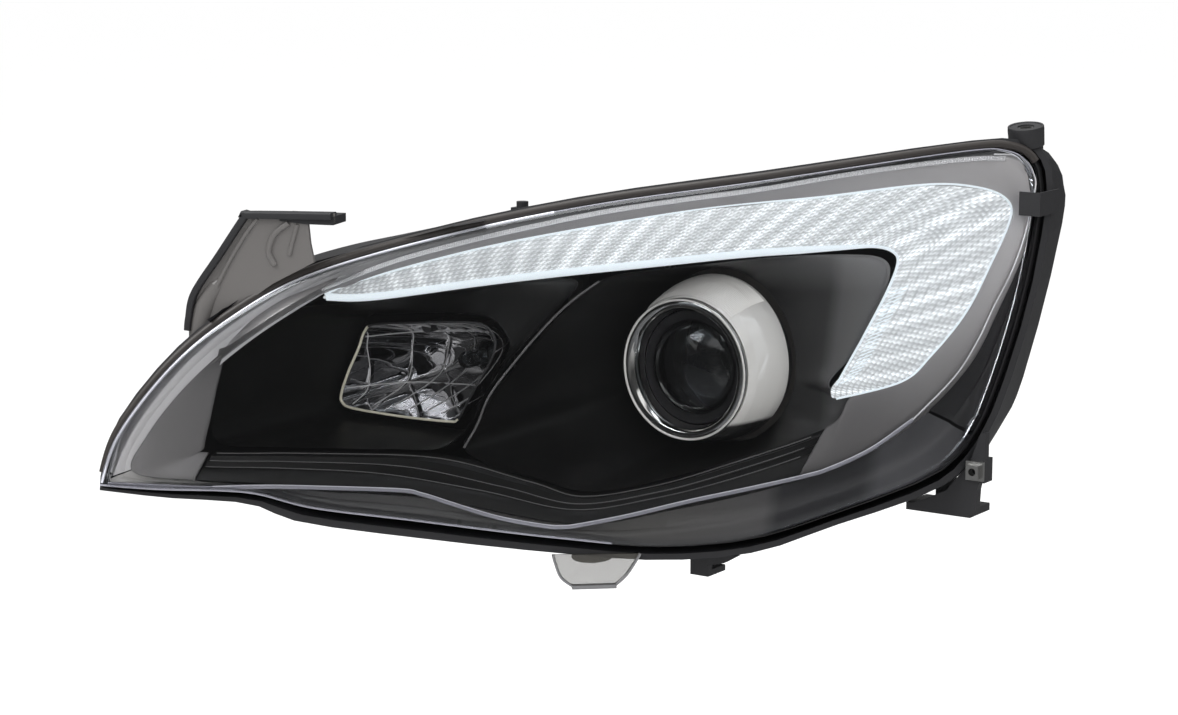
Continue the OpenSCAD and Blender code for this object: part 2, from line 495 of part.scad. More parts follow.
// ---- High beam reflector lamp
reflector_rim = [[92.6, 76], [97.7, 87.6], [106.4, 93.4], [142, 98], [184, 102], [198, 101], [205.6, 95],
    [206.3, 86.3], [201.2, 75.5], [191.2, 60.5], [181.2, 44.5], [175.5, 36], [168, 34], [130, 33], [88, 34],
    [78, 37], [77, 43], [83, 58]];
function dish_ring(t, back) = [for (i = [0:53]) let (a = loop(reflector_rim, i / 54),
    c = [high[0], high[2]], p = c + 10.5 * unit(a - c) + t * (a - c - 10.5 * unit(a - c)),
    n = unit(a - c))
    [p[0] + back * 0.7 * n[0] * t, lerp(high[1], 156, pow(t, 1.7)) + back, p[1] + back * 0.7 * n[1] * t]];
module high_reflector() color(chrome) union() {
    ring_solid([for (t = [1, 0.8, 0.6, 0.4, 0.2, 0]) dish_ring(t, 0),
        for (t = [0, 0.2, 0.4, 0.6, 0.8, 1]) dish_ring(t, 2.2)]);
    difference() {
        along_y([high[0], high[1] + 0.8, high[2]]) cylinder(r = 14, h = 9.2);
        along_y([high[0], high[1] - 5, high[2]]) cylinder(r = 9.6, h = 20);
    }
    for (i = [0:3]) along_y([high[0] + 32 * cos(45 + 90 * i), post_roots[i],
        high[2] + 32 * sin(45 + 90 * i)]) cylinder(r = 4, h = hoop_y - 0.02 - post_roots[i]);
}
module high_beam_bulb() color(clear_blue) union() {
    bulb([high[0], high[1] - 30, high[2]], 32);
    along_y([high[0], high[1] + 10.1, high[2]]) cylinder(r = 13, h = 1.6);
    along_y([high[0], high[1] + 4, high[2]]) cylinder(r = 8, h = 12);
}
module high_bulb_plug() color(bezel_black) plug([high[0], high[1] + 16.1, high[2]]);
module high_bulb_clip() clip_wire([high[0], high[1] + 12.7, high[2]], 14, 15);

// ---- Service caps and the indicator's bulb holder
module cap(place, r) {
    difference() {
        along_y(place + [0, turret_len + 0.1, 0]) cylinder(r = r + 5, h = 9);
        along_y(place + [0, turret_len - 1, 0]) cylinder(r = r - 5, h = 7);
    }
    difference() {
        along_y(place + [0, 5, 0]) cylinder(r = r - fit_gap, h = turret_len - 4.5);
        along_y(place + [0, 4, 0]) cylinder(r = r - 3, h = turret_len + 2);
        along_y(place + [0, 7, 0]) difference() {
            cylinder(r = r + 1, h = 4);
            translate([0, 0, -1]) cylinder(r = r - 1.8, h = 6);
        }
    }
    translate(place + [-r + 4, turret_len + 9, -3.5]) cube([2 * r - 8, 8, 7]);
}
module cap_seal(place, r) color(rubber_black) along_y(place + [0, 7.05, 0])
    tube(r - fit_gap, r - 1.75, 3.9);
module low_beam_cap() color(bezel_black) cap(low_place, low_bore_r);
module low_cap_seal() cap_seal(low_place, low_bore_r);
module high_beam_cap() color(bezel_black) cap(high_place, high_bore_r);
module high_cap_seal() cap_seal(high_place, high_bore_r);
module indicator_holder() color(plastic_grey) difference() {
    union() {
        along_y(indicator + [0, -4, 0]) cylinder(r = holder_bore_r - fit_gap, h = 10.5);
        along_y(indicator + [0, 6.1, 0]) cylinder(r = 18, h = 3);
        along_y(indicator + [0, 9, 0]) cylinder(r = 11, h = 14);
        translate(indicator + [-2, 9, -16]) cube([4, 12, 32]);
    }
    along_y(indicator + [0, -6, 0]) cylinder(r = 7.6, h = 10);
    along_y(indicator + [0, 16, 0]) cylinder(r = 8.5, h = 12);
}
module indicator_bulb() color([0.95, 0.6, 0.15]) along_y(indicator + [0, -26, 0])
    rotate_extrude() polygon([[0, 0], [5, 1.5], [8.5, 6], [9.2, 10], [8, 15], [7.4, 20],
    [7.4, 29], [0, 29]]);

translate(-datum) housing();
translate(-datum) outer_lens();
translate(-datum) lens_seal();
translate(-datum) top_weatherstrip();
translate(-datum) decor_frame();
translate(-datum) high_beam_bezel();
translate(-datum) projector_bezel();
translate(-datum) drl_light_guide();
translate(-datum) drl_reflector();
translate(-datum) drl_led_board();
translate(-datum) indicator_reflector();
translate(-datum) inner_arm_bracket();
translate(-datum) lower_outer_bracket();
translate(-datum) clip_nut();
translate(-datum) bottom_hook_bracket();
translate(-datum) ear_sleeve();
translate(-datum) top_clip();
translate(-datum) lens_clips();
translate(-datum) housing_screws();
translate(-datum) driver_module();
translate(-datum) main_connector();
translate(-datum) connector_pins();
translate(-datum) vent_elbows();
translate(-datum) leveling_motor();
translate(-datum) motor_connector();
translate(-datum) pivot_stud();
translate(-datum) pivot_socket();
translate(-datum) carrier_frame();
translate(-datum) projector_reflector();
translate(-datum) lens_holder();
translate(-datum) projector_lens();
translate(-datum) lens_retainer();
translate(-datum) projector_ring();
translate(-datum) projector_shroud();
translate(-datum) cutoff_shield();
translate(-datum) low_beam_bulb();
translate(-datum) low_bulb_plug();
translate(-datum) low_bulb_clip();
translate(-datum) high_reflector();
translate(-datum) high_beam_bulb();
translate(-datum) high_bulb_plug();
translate(-datum) high_bulb_clip();
translate(-datum) level_plunger();
translate(-datum) level_adjuster();
translate(-datum) aim_stud();
translate(-datum) aim_adjuster();
translate(-datum) low_beam_cap();
translate(-datum) low_cap_seal();
translate(-datum) high_beam_cap();
translate(-datum) high_cap_seal();
translate(-datum) indicator_holder();
translate(-datum) indicator_bulb();
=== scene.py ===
"""Looks of a left-hand car headlight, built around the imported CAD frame. Lengths are worked
out in lamp millimetres (from the lens's inner tip) and turned into the row frame by row()."""

import math

import bmesh
import bpy
import numpy as np
from mathutils import Matrix, Vector
from mathutils.geometry import delaunay_2d_cdt


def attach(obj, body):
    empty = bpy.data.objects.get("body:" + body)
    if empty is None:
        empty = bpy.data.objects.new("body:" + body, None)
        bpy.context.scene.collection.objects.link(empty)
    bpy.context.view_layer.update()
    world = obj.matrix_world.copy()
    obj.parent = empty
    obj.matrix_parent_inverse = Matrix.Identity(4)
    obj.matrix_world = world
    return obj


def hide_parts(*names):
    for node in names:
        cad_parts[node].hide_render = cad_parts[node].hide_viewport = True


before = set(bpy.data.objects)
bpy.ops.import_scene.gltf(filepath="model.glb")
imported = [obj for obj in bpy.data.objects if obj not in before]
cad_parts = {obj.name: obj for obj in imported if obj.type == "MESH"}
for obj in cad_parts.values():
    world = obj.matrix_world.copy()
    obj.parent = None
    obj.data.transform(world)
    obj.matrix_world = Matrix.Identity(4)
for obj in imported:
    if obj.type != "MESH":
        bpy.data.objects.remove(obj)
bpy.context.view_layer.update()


DATUM = np.array([449.0, 436.0, 219.0])
BODY = "shell"
rng = np.random.default_rng(7)


# ---- Curves and surfaces, as in the CAD part
def row(p):
    return (np.asarray(p, float) - DATUM) * 0.001


def face(x, z):
    x = np.asarray(x, float)
    z = np.asarray(z, float)
    return (0.42 * x + 195 * np.power(np.maximum(x, 0) / 480, 2.5) + 0.12 * z
            + np.where(z > 0, 0.00085 * z * z, 0))


def on_face(xz, back):
    xz = np.asarray(xz, float)
    return np.stack([xz[..., 0], face(xz[..., 0], xz[..., 1]) + back, xz[..., 1]], -1)


def knots(p0, p1, p2, p3, t):
    return 0.5 * (2 * p1 + (p2 - p0) * t + (2 * p0 - 5 * p1 + 4 * p2 - p3) * t ** 2
                  + (3 * p1 - p0 - 3 * p2 + p3) * t ** 3)


def spline(points, u):
    p = np.asarray(points, float)
    n = len(p) - 1
    s = np.clip(np.asarray(u, float), 0, 0.999999) * n
    i = s.astype(int)
    t = (s - i)[..., None]
    return knots(p[np.maximum(i - 1, 0)], p[i], p[i + 1], p[np.minimum(i + 2, n)], t)


def loop(points, u):
    p = np.asarray(points, float)
    n = len(p)
    s = (np.asarray(u, float) % 1) * n
    i = s.astype(int) % n
    t = (s - np.floor(s))[..., None]
    return knots(p[i - 1], p[i], p[(i + 1) % n], p[(i + 2) % n], t)


def even(points, n, closed=False):
    """The curve through points, at n places evenly spaced along it."""
    u = np.linspace(0, 1, 40 * len(points) + 1)
    q = loop(points, u * 0.999999) if closed else spline(points, u)
    d = np.concatenate([[0], np.cumsum(np.linalg.norm(np.diff(q, axis=0), axis=1))])
    s = np.linspace(0, d[-1], n + 1)[:-1] if closed else np.linspace(0, d[-1], n)
    return np.stack([np.interp(s, d, q[:, k]) for k in range(q.shape[1])], 1)


LENS_TOP = [[0, 1], [9, 33], [36, 76], [67, 108], [110, 137], [184, 163], [256, 181],
            [335, 194], [422, 209], [446, 209], [458, 198], [463, 178]]
LENS_BOTTOM = [[0, -2], [37, -3], [90, -3], [129, -12], [189, -20], [262, -32], [309, -39],
               [350, -37], [383, -26], [428, -5], [444, 12], [452, 34]]
RIM_TOP = [[-4, 3], [3, 37], [30, 81], [62, 114], [107, 143], [182, 169], [255, 187],
           [335, 200], [424, 215], [452, 214], [465, 200], [470, 178]]
RIM_BOTTOM = [[-4, -6], [37, -9], [88, -11], [119, -22], [189, -32], [257, -42], [309, -49],
              [354, -47], [389, -33], [434, -14], [451, 7], [460, 34]]


def outline(u, v, k):
    u, v = np.broadcast_arrays(np.asarray(u, float), np.asarray(v, float))
    w = v[..., None]
    a = spline(LENS_BOTTOM, u) * (1 - w) + spline(LENS_TOP, u) * w
    b = spline(RIM_BOTTOM, u) * (1 - w) + spline(RIM_TOP, u) * w
    q = a + (b - a) * k
    q[..., 0] += 5 * u ** 8 * 4 * v * (1 - v)
    return q


def edge_curve(k, n=400):
    """The lamp's whole outline once round, k = 0 on the lens's edge and 1 on the flange."""
    t = np.linspace(0, 1, 600)
    one, zero = np.ones(120), np.zeros(2)
    q = np.concatenate([outline(t, 0 * t, k), outline(one, np.linspace(0, 1, 120), k)[1:],
                        outline(t[::-1], 0 * t + 1, k)[1:]])
    d = np.concatenate([[0], np.cumsum(np.linalg.norm(np.diff(q, axis=0), axis=1))])
    gap = np.linalg.norm(q[0] - q[-1])
    s = np.linspace(0, d[-1] + gap, n + 1)[:-1]
    return np.stack([np.interp(s, d, q[:, j]) for j in range(2)], 1)


# ---- Mesh making
def make(name, verts, faces, mat, slot, body=BODY, replaces=(), angle=40, thick=0.0, offset=-1.0,
         values=None):
    mesh = bpy.data.meshes.new(name)
    mesh.from_pydata([tuple(v) for v in row(verts)], [], [tuple(int(i) for i in f) for f in faces])
    mesh.update()
    obj = bpy.data.objects.new(name, mesh)
    bpy.context.scene.collection.objects.link(obj)
    mesh.materials.append(mat)
    if values is not None:
        mesh.attributes.new("tone", "FLOAT", "POINT").data.foreach_set("value", np.ravel(values))
    mesh.polygons.foreach_set("use_smooth", [True] * len(mesh.polygons))
    mesh.set_sharp_from_angle(angle=math.radians(angle))
    if thick:
        mod = obj.modifiers.new("thickness", "SOLIDIFY")
        mod.thickness = thick * 0.001
        mod.offset = offset
        mod.use_even_offset = True
        mod.thickness_clamp = 1.0
    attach(obj, body)
    if replaces:
        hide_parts(*replaces)
    return obj


def grid_faces(n, m, wrap_n=False, wrap_m=False, start=0, flip=False):
    i, j = np.meshgrid(np.arange(n if wrap_n else n - 1), np.arange(m if wrap_m else m - 1),
                       indexing="ij")
    a, b = i * m + j, i * m + (j + 1) % m
    c, d = ((i + 1) % n) * m + (j + 1) % m, ((i + 1) % n) * m + j
    q = np.stack([a, b, c, d], -1).reshape(-1, 4) + start
    return q[:, ::-1] if flip else q


def sheet(name, grid, mat, slot, wrap_n=False, wrap_m=False, flip=False, **kw):
    g = np.asarray(grid, float)
    n, m = g.shape[:2]
    return make(name, g.reshape(-1, 3), grid_faces(n, m, wrap_n, wrap_m, flip=flip), mat, slot, **kw)


def frames_along(path, up):
    p = np.asarray(path, float)
    t = np.gradient(p, axis=0)
    t /= np.linalg.norm(t, axis=1)[:, None]
    s = np.cross(t, np.asarray(up, float))
    s /= np.linalg.norm(s, axis=1)[:, None]
    return t, s, np.cross(s, t)


def sweep_mesh(path, section, up, closed=False):
    """A closed section (side, up offsets in mm) carried along a path, capped at its ends."""
    p = np.asarray(path, float)
    if closed:
        q = np.concatenate([p[-2:], p, p[:2]])
        t, s, w = (v[2:-2] for v in frames_along(q, up))
    else:
        t, s, w = frames_along(p, up)
    sec = np.asarray(section, float)
    g = p[:, None] + s[:, None] * sec[None, :, 0:1] + w[:, None] * sec[None, :, 1:2]
    n, m = g.shape[:2]
    faces = [list(f) for f in grid_faces(n, m, wrap_n=closed, wrap_m=True)]
    if not closed:
        faces += [list(range(m))[::-1], [(n - 1) * m + k for k in range(m)]]
    return g.reshape(-1, 3), faces


def circle(r, n=12, squash=1.0):
    a = np.linspace(0, 2 * np.pi, n, endpoint=False)
    return np.stack([r * np.cos(a), r * squash * np.sin(a)], 1)


def merged(parts):
    verts, faces, start = [], [], 0
    for v, f in parts:
        verts.append(np.asarray(v, float))
        faces += [[int(i) + start for i in q] for q in f]
        start += len(v)
    return np.concatenate(verts), faces


def revolve(profile, centre, n=128, closed=False):
    """A profile of (radius, depth) turned about an axis along +Y through centre."""
    p = np.asarray(profile, float)
    a = np.linspace(0, 2 * np.pi, n, endpoint=False)
    g = np.stack([centre[0] + p[:, 0:1] * np.cos(a), centre[1] + p[:, 1:2] + 0 * a,
                  centre[2] + p[:, 0:1] * np.sin(a)], -1)
    return g.reshape(-1, 3), [list(f) for f in grid_faces(len(p), n, wrap_n=closed, wrap_m=True,
                                                          flip=True)]


def rounded(profile, r=0.5, steps=3):
    """Corners of a closed profile cut back into small arcs."""
    p = np.asarray(profile, float)
    out = []
    for i in range(len(p)):
        a, b, c = p[i - 1], p[i], p[(i + 1) % len(p)]
        u, v = a - b, c - b
        k = min(r, 0.45 * np.linalg.norm(u), 0.45 * np.linalg.norm(v))
        u, v = u / np.linalg.norm(u) * k, v / np.linalg.norm(v) * k
        for t in np.linspace(0, 1, steps):
            out.append(b + u * (1 - t) ** 2 + v * t ** 2)
    return np.array(out)


# ---- Materials
def material(name, base, rough, metallic=0.0, grain=0.0, grain_scale=900.0, vary=0.0, **sockets):
    mat = bpy.data.materials.new(name)
    mat.use_nodes = True
    nt = mat.node_tree
    bsdf = nt.nodes["Principled BSDF"]
    bsdf.inputs["Base Color"].default_value = (*base, 1)
    bsdf.inputs["Roughness"].default_value = rough
    bsdf.inputs["Metallic"].default_value = metallic
    for key, value in sockets.items():
        bsdf.inputs[key.replace("_", " ")].default_value = value
    coord = nt.nodes.new("ShaderNodeTexCoord")
    if grain:
        noise = nt.nodes.new("ShaderNodeTexNoise")
        noise.inputs["Scale"].default_value = grain_scale
        noise.inputs["Detail"].default_value = 3
        nt.links.new(coord.outputs["Object"], noise.inputs["Vector"])
        bump = nt.nodes.new("ShaderNodeBump")
        bump.inputs["Strength"].default_value = grain
        bump.inputs["Distance"].default_value = 0.0002
        nt.links.new(noise.outputs["Fac"], bump.inputs["Height"])
        nt.links.new(bump.outputs["Normal"], bsdf.inputs["Normal"])
    if vary:
        cloud = nt.nodes.new("ShaderNodeTexNoise")
        cloud.inputs["Scale"].default_value = 35
        cloud.inputs["Detail"].default_value = 4
        nt.links.new(coord.outputs["Object"], cloud.inputs["Vector"])
        span = nt.nodes.new("ShaderNodeMapRange")
        span.inputs["To Min"].default_value = max(rough - vary, 0)
        span.inputs["To Max"].default_value = min(rough + vary, 1)
        nt.links.new(cloud.outputs["Fac"], span.inputs["Value"])
        nt.links.new(span.outputs["Result"], bsdf.inputs["Roughness"])
    return mat


def clear(name, tint, low, gain=1.0, rough=0.02, ior=1.5):
    """A thin clear skin: it lets through what a Fresnel reflection doesn't send back."""
    mat = material(name, tint, rough, 1.0)
    nt = mat.node_tree
    fresnel = nt.nodes.new("ShaderNodeFresnel")
    fresnel.inputs["IOR"].default_value = ior
    span = nt.nodes.new("ShaderNodeMapRange")
    span.inputs["To Min"].default_value = low
    span.inputs["To Max"].default_value = gain
    nt.links.new(fresnel.outputs["Fac"], span.inputs["Value"])
    nt.links.new(span.outputs["Result"], nt.nodes["Principled BSDF"].inputs["Alpha"])
    return mat


def by_tone(mat, dark, light, socket="Base Color"):
    """Colours a material between two colours by the mesh's own tone values."""
    nt = mat.node_tree
    tone = nt.nodes.new("ShaderNodeAttribute")
    tone.attribute_name = "tone"
    if socket == "Base Color":
        mix = nt.nodes.new("ShaderNodeMix")
        mix.data_type = "RGBA"
        mix.inputs[6].default_value = (*dark, 1)
        mix.inputs[7].default_value = (*light, 1)
        nt.links.new(tone.outputs["Fac"], mix.inputs[0])
        nt.links.new(mix.outputs[2], nt.nodes["Principled BSDF"].inputs[socket])
    else:
        nt.links.new(tone.outputs["Fac"], nt.nodes["Principled BSDF"].inputs[socket])
    return mat


def by_place(mat, axis, stops, mode="LINEAR"):
    """Colours a material along an axis of the lamp; stops are (place in lamp mm, colour)."""
    nt = mat.node_tree
    coord = nt.nodes.new("ShaderNodeTexCoord")
    parts = nt.nodes.new("ShaderNodeSeparateXYZ")
    nt.links.new(coord.outputs["Object"], parts.inputs["Vector"])
    lo, hi = stops[0][0], stops[-1][0]
    span = nt.nodes.new("ShaderNodeMapRange")
    span.inputs["From Min"].default_value = (lo - DATUM[axis]) * 0.001
    span.inputs["From Max"].default_value = (hi - DATUM[axis]) * 0.001
    nt.links.new(parts.outputs[axis], span.inputs["Value"])
    ramp = nt.nodes.new("ShaderNodeValToRGB")
    ramp.color_ramp.interpolation = mode
    keys = ramp.color_ramp.elements
    while len(keys) > 1:
        keys.remove(keys[-1])
    for i, (place, colour) in enumerate(stops):
        key = keys[0] if i == 0 else keys.new((place - lo) / (hi - lo))
        key.color = (*colour, 1)
    nt.links.new(span.outputs["Result"], ramp.inputs["Fac"])
    nt.links.new(ramp.outputs["Color"], nt.nodes["Principled BSDF"].inputs["Base Color"])
    return mat

M = {
    "black": material("black_shell", (0.018, 0.018, 0.020), 0.5, grain=0.35, vary=0.1),
    "grey": material("grey_bracket", (0.085, 0.080, 0.077), 0.36, grain=0.2, vary=0.08),
    "bezel": material("satin_bezel", (0.0045, 0.0045, 0.0048), 0.40, grain=0.02, grain_scale=2500,
                      vary=0.05, Specular_IOR_Level=0.4),
    "trim": material("smoke_trim", (0.155, 0.152, 0.155), 0.34, grain=0.05, grain_scale=2500, vary=0.05,
                     Metallic=0.35),
    "lens": clear("clear_lens", (0.93, 0.95, 0.98), 0.012, 0.85),
    "rubber": material("rubber_seal", (0.012, 0.012, 0.013), 0.48, grain=0.3, vary=0.08),
    "dish": material("dark_mirror", (0.62, 0.62, 0.63), 0.02, 1.0),
    "chrome": material("chrome_plate", (0.92, 0.915, 0.90), 0.035, 1.0),
    "steel": material("zinc_steel", (0.55, 0.55, 0.54), 0.3, 1.0, grain=0.1, vary=0.1),
    "white": material("white_acetal", (0.72, 0.70, 0.65), 0.45, grain=0.1, vary=0.05),
    "alu": material("cast_aluminium", (0.42, 0.43, 0.44), 0.48, 0.9, grain=0.5, grain_scale=1400, vary=0.1),
    "cast": material("dark_casting", (0.10, 0.10, 0.105), 0.5, 0.7, grain=0.5, grain_scale=1400, vary=0.1),
    "brass": material("tinned_bronze", (0.70, 0.58, 0.36), 0.3, 1.0, grain=0.1),
    "board": material("green_board", (0.01, 0.09, 0.04), 0.35, grain=0.1),
    "glass": clear("clear_glass", (0.92, 0.95, 0.97), 0.03, 1.0, ior=1.6),
    "amber": clear("amber_glass", (0.95, 0.35, 0.03), 0.5, 1.0),
    "shroud": material("warm_chrome_painted_reflection", (0.97, 0.96, 0.94), 0.05, 0.25, grain=0.01, vary=0.02),
    "ring_highlight_paint": material("ring_painted_highlight", (0.93, 0.92, 0.90), 0.15, 0.25),
    "rim_highlight_paint": material("rim_painted_highlight", (0.88, 0.85, 0.70), 0.2, 0.2),
    "silver": material("silver_trim_and_painted_highlight", (0.86, 0.86, 0.88), 0.16, 0.45),
    "bead": material("lens_bead_painted_highlight", (0.33, 0.33, 0.38), 0.12, 0.3, Coat_Weight=0.6),
    "edge_light": material("lens_edge_painted_highlight", (0.74, 0.75, 0.82), 0.1, 0.2, Coat_Weight=0.8),
    "strip": material("brown_strip", (0.030, 0.026, 0.024), 0.42, grain=0.25, vary=0.08),
}


# The guide's prisms, bar, rim and ribs glow by emission: painted light.
M["guide"] = by_tone(material("prisms_painted_glow", (0.42, 0.44, 0.46), 0.14, IOR=1.49, grain=0.03,
                              Emission_Color=(0.94, 0.98, 1.0, 1)), 0, 1, "Emission Strength")
M["guide_bar"] = material("bar_painted_glow", (0.45, 0.52, 0.57), 0.10, IOR=1.49, grain=0.02,
                          Emission_Color=(0.91, 0.97, 1.0, 1), Emission_Strength=0.55)

# The frame's grey carries painted light and shade through its tone values.
M["frame_grey_painted_light"] = by_tone(material("frame_grey_painted_light", (0.2, 0.2, 0.2), 0.33, 0.25, grain=0.04,
                                   grain_scale=2500, vary=0.05), (0.0, 0.0, 0.0), (1, 0.975, 0.99))
# Painted light: the pockets' black goes grey by their tone values on the outer wall and under the guide.
M["pocket"] = by_tone(material("pocket_black_painted_light", (0.01, 0.01, 0.01), 0.40, grain=0.02,
                               grain_scale=2500, vary=0.05, Specular_IOR_Level=0.4),
                      (0, 0, 0), (1, 1.0, 1.02))
# Painted light: the channel behind the lens's edge goes from light grey at the left tip to near black along x.
CHANNEL_PAINTED_LIGHT = [(0, (0.70, 0.69, 0.70)), (90, (0.52, 0.52, 0.54)), (170, (0.22, 0.22, 0.225)),
           (260, (0.055, 0.055, 0.06)), (400, (0.02, 0.02, 0.022))]
M["channel"] = by_place(material("glue_channel_painted_light", (0.2, 0.2, 0.2), 0.3, grain=0.1, vary=0.06), 0,
                        CHANNEL_PAINTED_LIGHT)
# Painted light and shade: the lower channel goes from light grey at the left tip to dark grey, with a darker
# band at x 362 to 400.
LOWER_PAINTED_LIGHT = [(0, (0.60, 0.59, 0.58)), (60, (0.20, 0.20, 0.20)), (110, (0.075, 0.075, 0.078)),
         (300, (0.07, 0.068, 0.066)), (355, (0.07, 0.068, 0.07)), (362, (0.022, 0.022, 0.025)),
         (400, (0.02, 0.02, 0.023)), (408, (0.06, 0.06, 0.066)), (450, (0.05, 0.05, 0.055))]
M["lower"] = by_place(material("lower_channel_painted_light", (0.1, 0.1, 0.1), 0.3, grain=0.1, vary=0.06), 0,
                      LOWER_PAINTED_LIGHT)

# Painted reflection: the shroud is coloured near black below lamp z 31 and bright warm white from z 34 up.
by_place(M["shroud"], 2, [(-20, (0.03, 0.03, 0.03)), (31, (0.035, 0.035, 0.035)), (34, (0.97, 0.96, 0.93)),
                          (140, (0.97, 0.96, 0.94))])

# ---- Finish of the CAD nodes that stay in view
FINISH = dict(
    housing="black", lens_seal="rubber", drl_led_board="board", drl_reflector="chrome",
    indicator_reflector="chrome", lower_outer_bracket="black", clip_nut="steel",
    bottom_hook_bracket="black", ear_sleeve="steel", top_clip="black", lens_clips="black",
    housing_screws="steel", driver_module="alu", main_connector="black", connector_pins="brass",
    vent_elbows="rubber", leveling_motor="black", motor_connector="grey", pivot_stud="steel",
    pivot_socket="white", carrier_frame="grey", projector_reflector="chrome", lens_holder="cast",
    projector_lens="glass", lens_retainer="black", projector_ring="chrome",
    projector_shroud="chrome", cutoff_shield="black", low_beam_bulb="glass",
    low_bulb_plug="black", low_bulb_clip="steel", high_reflector="chrome", high_beam_bulb="glass",
    high_bulb_plug="black", high_bulb_clip="steel", level_plunger="white", level_adjuster="white",
    aim_stud="steel", aim_adjuster="white", low_beam_cap="black", low_cap_seal="rubber",
    high_beam_cap="black", high_cap_seal="rubber", indicator_holder="grey", indicator_bulb="amber",
    inner_arm_bracket="grey", outer_lens="lens", top_weatherstrip="rubber", decor_frame="trim",
    high_beam_bezel="bezel", projector_bezel="bezel", drl_light_guide="guide")
BEVELLED = ("lower_outer_bracket", "clip_nut", "bottom_hook_bracket", "top_clip", "lens_clips",
            "driver_module", "main_connector", "leveling_motor", "motor_connector",
            "low_bulb_plug", "high_bulb_plug", "low_beam_cap", "high_beam_cap",
            "indicator_holder", "level_adjuster", "aim_adjuster", "carrier_frame")
for node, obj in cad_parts.items():
    obj.data.materials.clear()
    obj.data.materials.append(M[FINISH[node]])
    if node in BEVELLED:
        bevel = obj.modifiers.new("edges", "BEVEL")
        bevel.width = 0.0007
        bevel.segments = 2
        bevel.limit_method = "ANGLE"
        bevel.angle_limit = math.radians(40)
        bevel.harden_normals = False

# ---- Camera and studio
AZ, EL = math.radians(34.0), math.radians(10.0)
TARGET = np.array([269.156, 172.165, 84.613])
right = np.array([math.cos(AZ), math.sin(AZ), 0])
ahead = np.array([-math.sin(AZ) * math.cos(EL), math.cos(AZ) * math.cos(EL), -math.sin(EL)])
up = np.cross(right, ahead)
cam = bpy.data.cameras.new("camera")
cam.lens = 85
cam.sensor_width = 36
cam.clip_end = 30
cam_obj = bpy.data.objects.new("camera", cam)
bpy.context.scene.collection.objects.link(cam_obj)
cam_obj.matrix_world = Matrix.LocRotScale(
    Vector(row(TARGET - ahead * 1794.5)),
    Matrix([[right[k], up[k], -ahead[k]] for k in range(3)]).to_quaternion(), None)
bpy.context.scene.camera = cam_obj

world = bpy.data.worlds.new("studio")
world.use_nodes = True
wt = world.node_tree
back = wt.nodes["Background"]
back.inputs["Strength"].default_value = 1.0
w_coord = wt.nodes.new("ShaderNodeTexCoord")
w_parts = wt.nodes.new("ShaderNodeSeparateXYZ")
wt.links.new(w_coord.outputs["Generated"], w_parts.inputs["Vector"])
w_span = wt.nodes.new("ShaderNodeMapRange")
w_span.inputs["From Min"].default_value = -1
wt.links.new(w_parts.outputs["Z"], w_span.inputs["Value"])
dome = wt.nodes.new("ShaderNodeValToRGB")
DOME = [(-0.9, 0.55), (-0.45, 0.42), (-0.2, 0.16), (0.0, 0.045), (0.42, 0.06), (0.5, 0.9),
        (0.72, 1.0), (0.8, 0.35)]
keys = dome.color_ramp.elements
keys.remove(keys[-1])
for i, (z, v) in enumerate(DOME):
    key = keys[0] if i == 0 else keys.new((z + 1) / 2)
    key.position = (z + 1) / 2
    key.color = (v, v, v, 1)
wt.links.new(w_span.outputs["Result"], dome.inputs["Fac"])
w_path = wt.nodes.new("ShaderNodeLightPath")
w_mix = wt.nodes.new("ShaderNodeMix")
w_mix.data_type = "RGBA"
w_mix.inputs[6].default_value = (1.06, 1.06, 1.06, 1)
wt.links.new(w_path.outputs["Is Glossy Ray"], w_mix.inputs[0])
wt.links.new(dome.outputs["Color"], w_mix.inputs[7])
wt.links.new(w_mix.outputs[2], back.inputs["Color"])
bpy.context.scene.world = world
bpy.context.scene.view_settings.view_transform = "Standard"


def area(name, place, aim, size, power, colour=(1, 1, 1)):
    data = bpy.data.lights.new(name, "AREA")
    data.shape = "RECTANGLE"
    data.size, data.size_y = size
    data.energy = power
    data.color = colour
    obj = bpy.data.objects.new(name, data)
    bpy.context.scene.collection.objects.link(obj)
    obj.location = place
    obj.rotation_euler = (Vector(aim) - Vector(place)).to_track_quat("-Z", "Y").to_euler()
    return obj


CENTRE = tuple(row([250, 180, 80]))
area("key", (-1.2, -2.0, 1.6), CENTRE, (1.6, 1.0), 38)
area("fill", (1.8, -1.8, 0.9), CENTRE, (1.2, 1.6), 16).visible_glossy = False
area("top", (-0.1, -0.2, 2.0), CENTRE, (2.0, 1.2), 30)

floor = bpy.data.meshes.new("floor")
floor.from_pydata([(-60, -60, 0), (60, -60, 0), (60, 60, 0), (-60, 60, 0)], [], [(0, 1, 2, 3)])
floor_obj = bpy.data.objects.new("floor", floor)
floor_obj.location = (0, 0, -0.75)
bpy.context.scene.collection.objects.link(floor_obj)
floor.materials.append(material("pale_floor", (0.96, 0.96, 0.96), 0.85, Specular_IOR_Level=0.1))
floor_obj.visible_glossy = False

